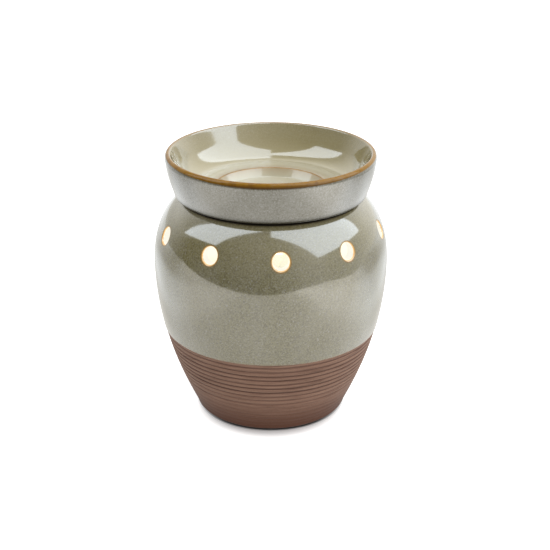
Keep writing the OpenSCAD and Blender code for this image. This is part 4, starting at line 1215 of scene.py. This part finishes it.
def dome_profile(lamp, step_z):
    """Porcelain dome: from the nipple's hole out, up to the step and the neck, and down the bore."""
    outer_r, neck_r = DOME_HIGH.x, lamp.neck_od / 2
    bore_r, hole_r = lamp.holder_bore / 2, lamp.nipple_d / 2
    low, high, floor_z = DOME_LOW.z, DOME_HIGH.z, DOME_LOW.z + lamp.dome_floor
    seam = (hole_r, floor_z - 1 * MM, 0)
    return rounded([
        seam, (hole_r, low, 0.3 * MM), (outer_r - lamp.dome_bevel, low, 1 * MM),
        (outer_r, low + lamp.dome_bevel, 2 * MM), (outer_r, step_z, 0.5 * MM), (neck_r, step_z, 0.3 * MM),
        (neck_r, high, 0.5 * MM), (bore_r, high, 0.5 * MM), (bore_r, floor_z, 0.8 * MM),
        (hole_r, floor_z, 0.3 * MM), seam,
    ])


def barrel_profile(lamp, step_z):
    """Porcelain barrel: a sleeve over the dome's neck, with a narrower bore above it."""
    outer_r, bore_r, sleeve_r = DOME_HIGH.x, lamp.holder_bore / 2, lamp.neck_od / 2 + lamp.neck_gap
    low, high, insert_z = BARREL_LOW.z, BARREL_HIGH.z, SHELL_LOW.z
    seam = (sleeve_r, step_z + 1 * MM, 0)
    return rounded([
        seam, (sleeve_r, low, 0.4 * MM), (outer_r, low, 0.6 * MM), (outer_r, high, 1.6 * MM),
        (bore_r, high, 1.2 * MM), (bore_r, insert_z, 0.4 * MM), (sleeve_r, insert_z, 0.3 * MM), seam,
    ])


def shell_rows(lamp):
    """Threaded shell: up its inside, down its outside at one sheet's distance, and across its bottom."""
    mean = lamp.thread_d / 2 - lamp.thread_wave + lamp.thread_gap
    hole_r, corner_r = lamp.shell_hole_d / 2, mean + lamp.thread_wave + lamp.sheet
    low, floor_z = SHELL_LOW.z, SHELL_LOW.z + lamp.sheet
    inside = thread_rows(mean, floor_z, SHELL_HIGH.z, 1, lamp)
    outside = inside[::-1] + np.array([lamp.sheet, 0, 0])
    bottom = plain_rows((corner_r, low), (hole_r, low))
    return np.concatenate([plain_rows((hole_r, floor_z)), inside, outside, bottom])


class WARMER_OT_lampholder(Operator):
    """Build the porcelain lampholder with its brass screw shell"""

    bl_idname = "warmer.make_lampholder"
    bl_label = "Lampholder"

    def execute(self, context):
        lamp = context.scene.warmer_lamp
        step_z = DOME_LOW.z + lamp.dome_step
        china = porcelain_finish("white_porcelain")
        dome = patch(turned(dome_profile(lamp, step_z), 96))
        place("dome", [dome], [china], "pot", "porcelain", "lampholder_dome")
        barrel = patch(turned(barrel_profile(lamp, step_z), 96))
        place("barrel", [barrel], [china], "pot", "porcelain", "lampholder_barrel")
        dress(china, "lampholder_insert")

        brass = metal_finish(
            "pressed_brass", srgb(205, 172, 98), srgb(158, 124, 64), 0.26, 0.5 * MM, BRUSHED_ROUND
        )
        shell = patch(wound(shell_rows(lamp), lamp.pitch), close=True)
        place("shell", [shell], [brass], "pot", "brass", "screw_shell")
        dress(brass, "centre_contact", "contact_rivets", "terminal_plates")
        zinc = metal_finish("terminal_zinc", srgb(186, 188, 190), srgb(150, 150, 148), 0.3, 0.3 * MM)
        dress(zinc, "terminal_screws")
        return {"FINISHED"}


def bushing_loops(base):
    """Cord bushing: sections along the bore, over the outer face and back along the body to the flange.

    The bore's sections are circles, and the others are superellipses.
    """
    roundness, soft = 0.12, 0.5 * MM
    power = 2 + 2 / roundness
    angle = around(96)
    bore_r, back, face = base.cord_bore_d / 2, BUSHING_LOW.y, BUSHING_HIGH.y

    def section(half_x, low_z, high_z):
        """Superellipse that nearly fills a rectangle."""
        x, z = superellipse(half_x, (high_z - low_z) / 2, power, angle)
        return np.stack([x, (low_z + high_z) / 2 + z], -1)

    def circle(r):
        """Circle about the bore."""
        return np.stack([r * np.cos(angle), base.cord_z + r * np.sin(angle)], -1)

    def body(shrink):
        """Section of the body, made smaller all round."""
        return section(base.body_w / 2 - shrink, BUSHING_LOW.z + shrink, BUSHING_HIGH.z - shrink)

    def flange(shrink):
        """Section of the flange, made smaller all round."""
        return section(BUSHING_HIGH.x - shrink, base.flange_z + shrink, base.flange_top_z - shrink)

    step = back + base.flange_t
    body_y = COVER_HIGH.y + 0.3 * MM
    neck = section(base.body_w / 2, base.flange_z, base.flange_top_z)
    rows = [
        (circle(bore_r + soft), back), (circle(bore_r), back + soft), (circle(bore_r), face - soft),
        (circle(bore_r + 0.3 * soft), face - 0.3 * soft), (circle(bore_r + soft), face),
        (body(1.4 * soft), face), (body(0.4 * soft), face - 0.4 * soft), (body(0), face - 1.4 * soft),
        (body(0), body_y), (neck, body_y), (neck, step), (flange(0), step),
        (flange(0), back + 0.4 * soft), (flange(0.4 * soft), back),
    ]
    return np.stack([np.column_stack([xz[:, 0], np.full(len(angle), y), xz[:, 1]]) for xz, y in rows])


def pad_patches(base):
    """Four foot pads: a turned button set at the corners of a square."""
    pad_r, reach = base.pad_d / 2, PAD_HIGH.x - base.pad_d / 2
    low, high = PAD_LOW.z, PAD_HIGH.z
    pad = turned(rounded([(0, high, 0), (pad_r, high, 0.05 * MM), (pad_r, low, 0.4 * MM), (0, low, 0)]), 48)
    corners = reach * np.array([[1, 1, 0], [-1, 1, 0], [-1, -1, 0], [1, -1, 0]])
    return [patch(pad + corner) for corner in corners]


def cover_profile(base):
    """Base cover: a disc with a raised bead, its upper side the lower one moved up by the thickness."""
    inner_r, outer_r = (base.bead_d - base.bead_w) / 2, (base.bead_d + base.bead_w) / 2
    z, rise, soft = COVER_LOW.z, base.bead_h, 0.6 * MM
    under = [
        (0, z, 0), (inner_r, z, soft), (inner_r + rise, z + rise, soft), (outer_r - rise, z + rise, soft),
        (outer_r, z, soft), (COVER_HIGH.x, z, 0.4 * MM),
    ]
    over = [(r, height + base.cover_t, rounding) for r, height, rounding in under[::-1]]
    return rounded(under + over)


class WARMER_OT_base(Operator):
    """Build the pads, base cover and cord bushing, and dress the metalwork under the floor"""

    bl_idname = "warmer.make_base"
    bl_label = "Base"

    def execute(self, context):
        base = context.scene.warmer_base
        rubber = moulded_finish(
            "black_rubber", srgb(38, 37, 36), srgb(58, 56, 54), 0.62, 0.4 * MM, 0.05 * MM
        )
        place("pads", pad_patches(base), [rubber], "pot", "rubber", "foot_pads")

        paint = moulded_finish("black_paint", srgb(34, 33, 33), srgb(60, 57, 54), 0.42, 0.9 * MM, 0.03 * MM)
        cover = patch(turned(cover_profile(base), 120))
        place("cover", [cover], [paint], "pot", "cover_paint", "base_cover")

        bushing = patch(bushing_loops(base), close=True)
        place("bushing", [bushing], [rubber], "pot", "rubber", "cord_bushing")
        dress(rubber, "lower_gasket", "upper_gasket")
        zinc = metal_finish(
            "zinc_plate", srgb(182, 184, 187), srgb(146, 147, 146), 0.3, 0.4 * MM, BRUSHED_ALONG
        )
        dress(zinc, "cover_screws", "cover_bracket", "nipple", "lock_washer")
        brass = metal_finish("turned_brass", srgb(200, 166, 92), srgb(150, 118, 60), 0.24, 0.4 * MM)
        dress(brass, "nipple_nut")
        return {"FINISHED"}


# Directions that face into each light panel, square to the planes through the object and the panel's edges.
# The last plane of each keeps the panels to their own side.
LEFT_PANEL = [(-1, 2.73, 0.57), (-0.267, -0.964, 0), (0.46, 0.405, 1), (-1, 0, 0)]
RIGHT_PANEL = [(1, 1.49, 0.74), (0.228, -1, 0.373), (-0.376, 0.084, 1), (1, 0, 0)]
# Half the width of the soft step across each of those planes, as the sine of the angle from the plane
PANEL_SOFT = 0.012

# Front edge of the table in millimetres, seen from above. The belly mirrors it as its dark belt's lower edge.
TABLE_EDGE = [
    (-1600, 60), (-1200, -67), (-800, -196), (-400, -325), (0, -375),
    (260, -460), (490, -408), (520, -107), (900, 200), (1600, 600),
]


def panel_share(n, way, edges):
    """One inside a light panel and nought outside: soft steps across the planes of its edges, multiplied."""
    steps = []
    for edge in edges:
        unit = np.array(edge) / np.linalg.norm(edge)
        side = n.add("ShaderNodeVectorMath", {0: way, 1: unit.tolist()}, operation="DOT_PRODUCT")
        steps.append(n.span(side.outputs["Value"], -PANEL_SOFT, PANEL_SOFT))
    return n.product(*steps)


def room_world(stage):
    """Soft light on matt surfaces, two light panels in a dim room in reflections, and plain white behind.

    The room is darkest in front on the left, and brighter to the right, overhead and behind the object.
    """
    world = bpy.data.worlds.new("room")
    world.use_nodes = True
    n = Nodes(world.node_tree)
    way = n.add("ShaderNodeTexCoord").outputs["Generated"]
    path = n.add("ShaderNodeLightPath").outputs
    axes = n.axes(way)
    x, y, z = axes["X"], axes["Y"], axes["Z"]

    above = n.span(z, -0.15, 0.1, 0.0, stage.dome_level)
    dome = n.product(above, n.math("MULTIPLY_ADD", x, stage.right_share, 1.0))
    front = n.product(n.span(x, -0.8, 0.0, 0.36, 1.0), stage.front_level)
    room = n.math("ADD", n.span(x, -0.2, 0.9, 0.0, stage.right_level), front)
    room = n.math("ADD", room, n.span(z, 0.5, 0.85, 0.0, stage.top_level))
    back = n.product(n.span(y, 0.0, 0.7, 0.0, stage.back_level), n.span(x, 0.0, 0.8, 1.0, 0.55))
    room = n.math("MULTIPLY_ADD", back, n.span(z, 0.05, 0.35, 1.0, 1.7), room)
    left, right = panel_share(n, way, LEFT_PANEL), panel_share(n, way, RIGHT_PANEL)
    hue = n.mix(n.math("MAXIMUM", left, right), stage.room_tint, stage.panel_tint)
    room = n.math("MULTIPLY_ADD", left, stage.left_panel, room)
    room = n.math("MULTIPLY_ADD", right, stage.right_panel, room)

    def light(tone, level):
        """Light of one tone and level."""
        return n.add("ShaderNodeBackground", {"Color": tone, "Strength": level}).outputs[0]

    def either(share, first, second):
        """The first light where the share is nought, and the second where it is one."""
        return n.add("ShaderNodeMixShader", {0: share, 1: first, 2: second}).outputs[0]

    white = (1, 1, 1)
    lit = either(path["Is Glossy Ray"], light(white, dome), light(hue, room))
    seen = n.math("MAXIMUM", path["Is Camera Ray"], path["Is Transmission Ray"])
    n.add("ShaderNodeOutputWorld", {"Surface": either(seen, lit, light(white, 1.0))})
    return world


def table_finish(stage):
    """White table: white in the picture with a tight shadow round the foot, partly rendered and partly
    painted, and a glow in reflections.

    That glow is strong in front and to the right, and gains a little close to the object's sides, farther out
    beside it and behind it. For all other light the table only reflects.
    """
    f = Finish("white_table")
    path = f.add("ShaderNodeLightPath").outputs
    spot = f.axes(f.coords)
    x, y, across = spot["X"], spot["Y"], f.math("ABSOLUTE", spot["X"])
    black, white = (0, 0, 0), (1, 1, 1)

    def fade(value, low_mm, high_mm, start=0.0, end=1.0):
        """A number that goes smoothly from start to end between two distances."""
        return f.span(value, low_mm * MM, high_mm * MM, start, end)

    def distance_from(y_mm):
        """Distance from the point on the Y axis at this place."""
        moved = f.add("ShaderNodeVectorMath", {0: f.coords, 1: (0, y_mm * MM, 0)}, operation="SUBTRACT")
        return f.add("ShaderNodeVectorMath", {0: moved.outputs[0]}, operation="LENGTH").outputs["Value"]

    front = fade(y, -160, 60, stage.table_gloss, stage.table_rest)
    near = f.product(fade(across, 15, 75, 0, stage.table_near), fade(y, -90, -30), fade(y, 0, 90, 1, 0))
    right = fade(x, 30, 230, 1, stage.table_right)
    beside = f.product(
        fade(across, 120, 185, 0, stage.table_side), fade(across, 260, 380, 1, 0), fade(y, 150, 300, 1, 0)
    )
    behind = f.math("ADD", fade(y, 60, 260, 0, stage.table_back), fade(y, 240, 600, 0, stage.table_far))
    glow = f.math("MULTIPLY_ADD", f.math("ADD", front, near), right, f.math("ADD", beside, behind))
    mirrored = f.product(glow, path["Is Glossy Ray"])
    cool = f.mix(fade(y, -100, 80), stage.table_bounce, stage.table_cool)
    bounce = f.mix(fade(y, 60, 200, 0, 0.25), stage.table_bounce, black)

    plain = f.ramp(f.noise(60 * MM), [(0.3, stage.table_white * 0.99), (0.7, stage.table_white)])
    # Painted shadow: in the picture the table darkens to a tenth in a ring just round the foot
    plain = f.mix(fade(distance_from(0), 41.5, 44, 0.1, 1), black, plain)
    # Painted light: a glow for the camera, nought near the foot and full beyond it, that whitens the object's
    # broad shadow away
    lift = fade(distance_from(-10), 33.5, 45, 0, stage.table_lift)
    f.set(
        Base_Color=f.mix(path["Is Camera Ray"], bounce, plain),
        Roughness=0.9,
        Specular_IOR_Level=0.0,
    )
    level = f.math("MULTIPLY_ADD", path["Is Camera Ray"], lift, mirrored)
    f.glow(f.mix(path["Is Camera Ray"], cool, white), level)
    return f.material


def table_mesh(stage):
    """Flat table: rows of points go in even steps from the front edge straight back to the far edge."""
    rows, wide = 8, len(TABLE_EDGE)
    edge_x, edge_y = np.array(TABLE_EDGE).T * MM
    deep = np.linspace(0, 1, rows + 1)[:, None]
    x, y = edge_x + 0 * deep, edge_y + (stage.table_back_edge - edge_y) * deep
    points = np.stack([x, y, 0 * x], -1).reshape(-1, 3)
    first = (wide * np.arange(rows)[:, None] + np.arange(wide - 1)).ravel()
    faces = np.stack([first, first + 1, first + wide + 1, first + wide], -1)
    mesh = bpy.data.meshes.new("table")
    mesh.from_pydata(points.tolist(), [], faces.tolist())
    mesh.materials.append(table_finish(stage))
    return mesh


class WARMER_OT_stage(Operator):
    """Build the white table, the lit room and the camera"""

    bl_idname = "warmer.make_stage"
    bl_label = "Stage"

    def execute(self, context):
        scene, stage = context.scene, context.scene.warmer_stage
        table = bpy.data.objects.new("table", table_mesh(stage))
        scene.collection.objects.link(table)

        scene.world = room_world(stage)
        camera = bpy.data.cameras.new("camera")
        camera.lens, camera.sensor_width = stage.lens, stage.sensor
        camera.shift_x, camera.shift_y = stage.shift_x, stage.shift_y
        view = bpy.data.objects.new("camera", camera)
        back, up = math.cos(stage.elevation), math.sin(stage.elevation)
        view.location = (0, -stage.distance * back, stage.aim_z + stage.distance * up)
        view.rotation_euler = (math.pi / 2 - stage.elevation, 0, 0)
        scene.collection.objects.link(view)
        scene.camera = view
        scene.view_settings.view_transform = "Standard"
        return {"FINISHED"}


class WARMER_PT_panel(Panel):
    """Sidebar panel that lists the pieces"""

    bl_idname = "WARMER_PT_panel"
    bl_label = "Wax warmer"
    bl_space_type = "VIEW_3D"
    bl_region_type = "UI"
    bl_category = "Warmer"

    def draw(self, context):
        for operator in OPERATORS:
            self.layout.operator(operator.bl_idname)


GROUPS = {
    "warmer_jar": JarSizes,
    "warmer_grooves": GrooveSizes,
    "warmer_ports": PortSizes,
    "warmer_dish": DishSizes,
    "warmer_lamp": LampSizes,
    "warmer_base": BaseSizes,
    "warmer_colours": Colours,
    "warmer_stage": StageSettings,
}
OPERATORS = (
    WARMER_OT_jar,
    WARMER_OT_dish,
    WARMER_OT_lamp,
    WARMER_OT_lampholder,
    WARMER_OT_base,
    WARMER_OT_stage,
)


def register():
    """Registers the classes and hangs the settings on the scene."""
    for name, group in GROUPS.items():
        bpy.utils.register_class(group)
        setattr(bpy.types.Scene, name, PointerProperty(type=group))
    for item in (*OPERATORS, WARMER_PT_panel):
        bpy.utils.register_class(item)


def unregister():
    """Takes the classes and the settings away again."""
    for item in (WARMER_PT_panel, *OPERATORS[::-1]):
        bpy.utils.unregister_class(item)
    for name, group in GROUPS.items():
        delattr(bpy.types.Scene, name)
        bpy.utils.unregister_class(group)


def main():
    """Builds every piece and the stage."""
    register()
    bpy.ops.warmer.make_jar()
    bpy.ops.warmer.make_dish()
    bpy.ops.warmer.make_lamp()
    bpy.ops.warmer.make_lampholder()
    bpy.ops.warmer.make_base()
    bpy.ops.warmer.make_stage()


if __name__ == "__main__":
    main()
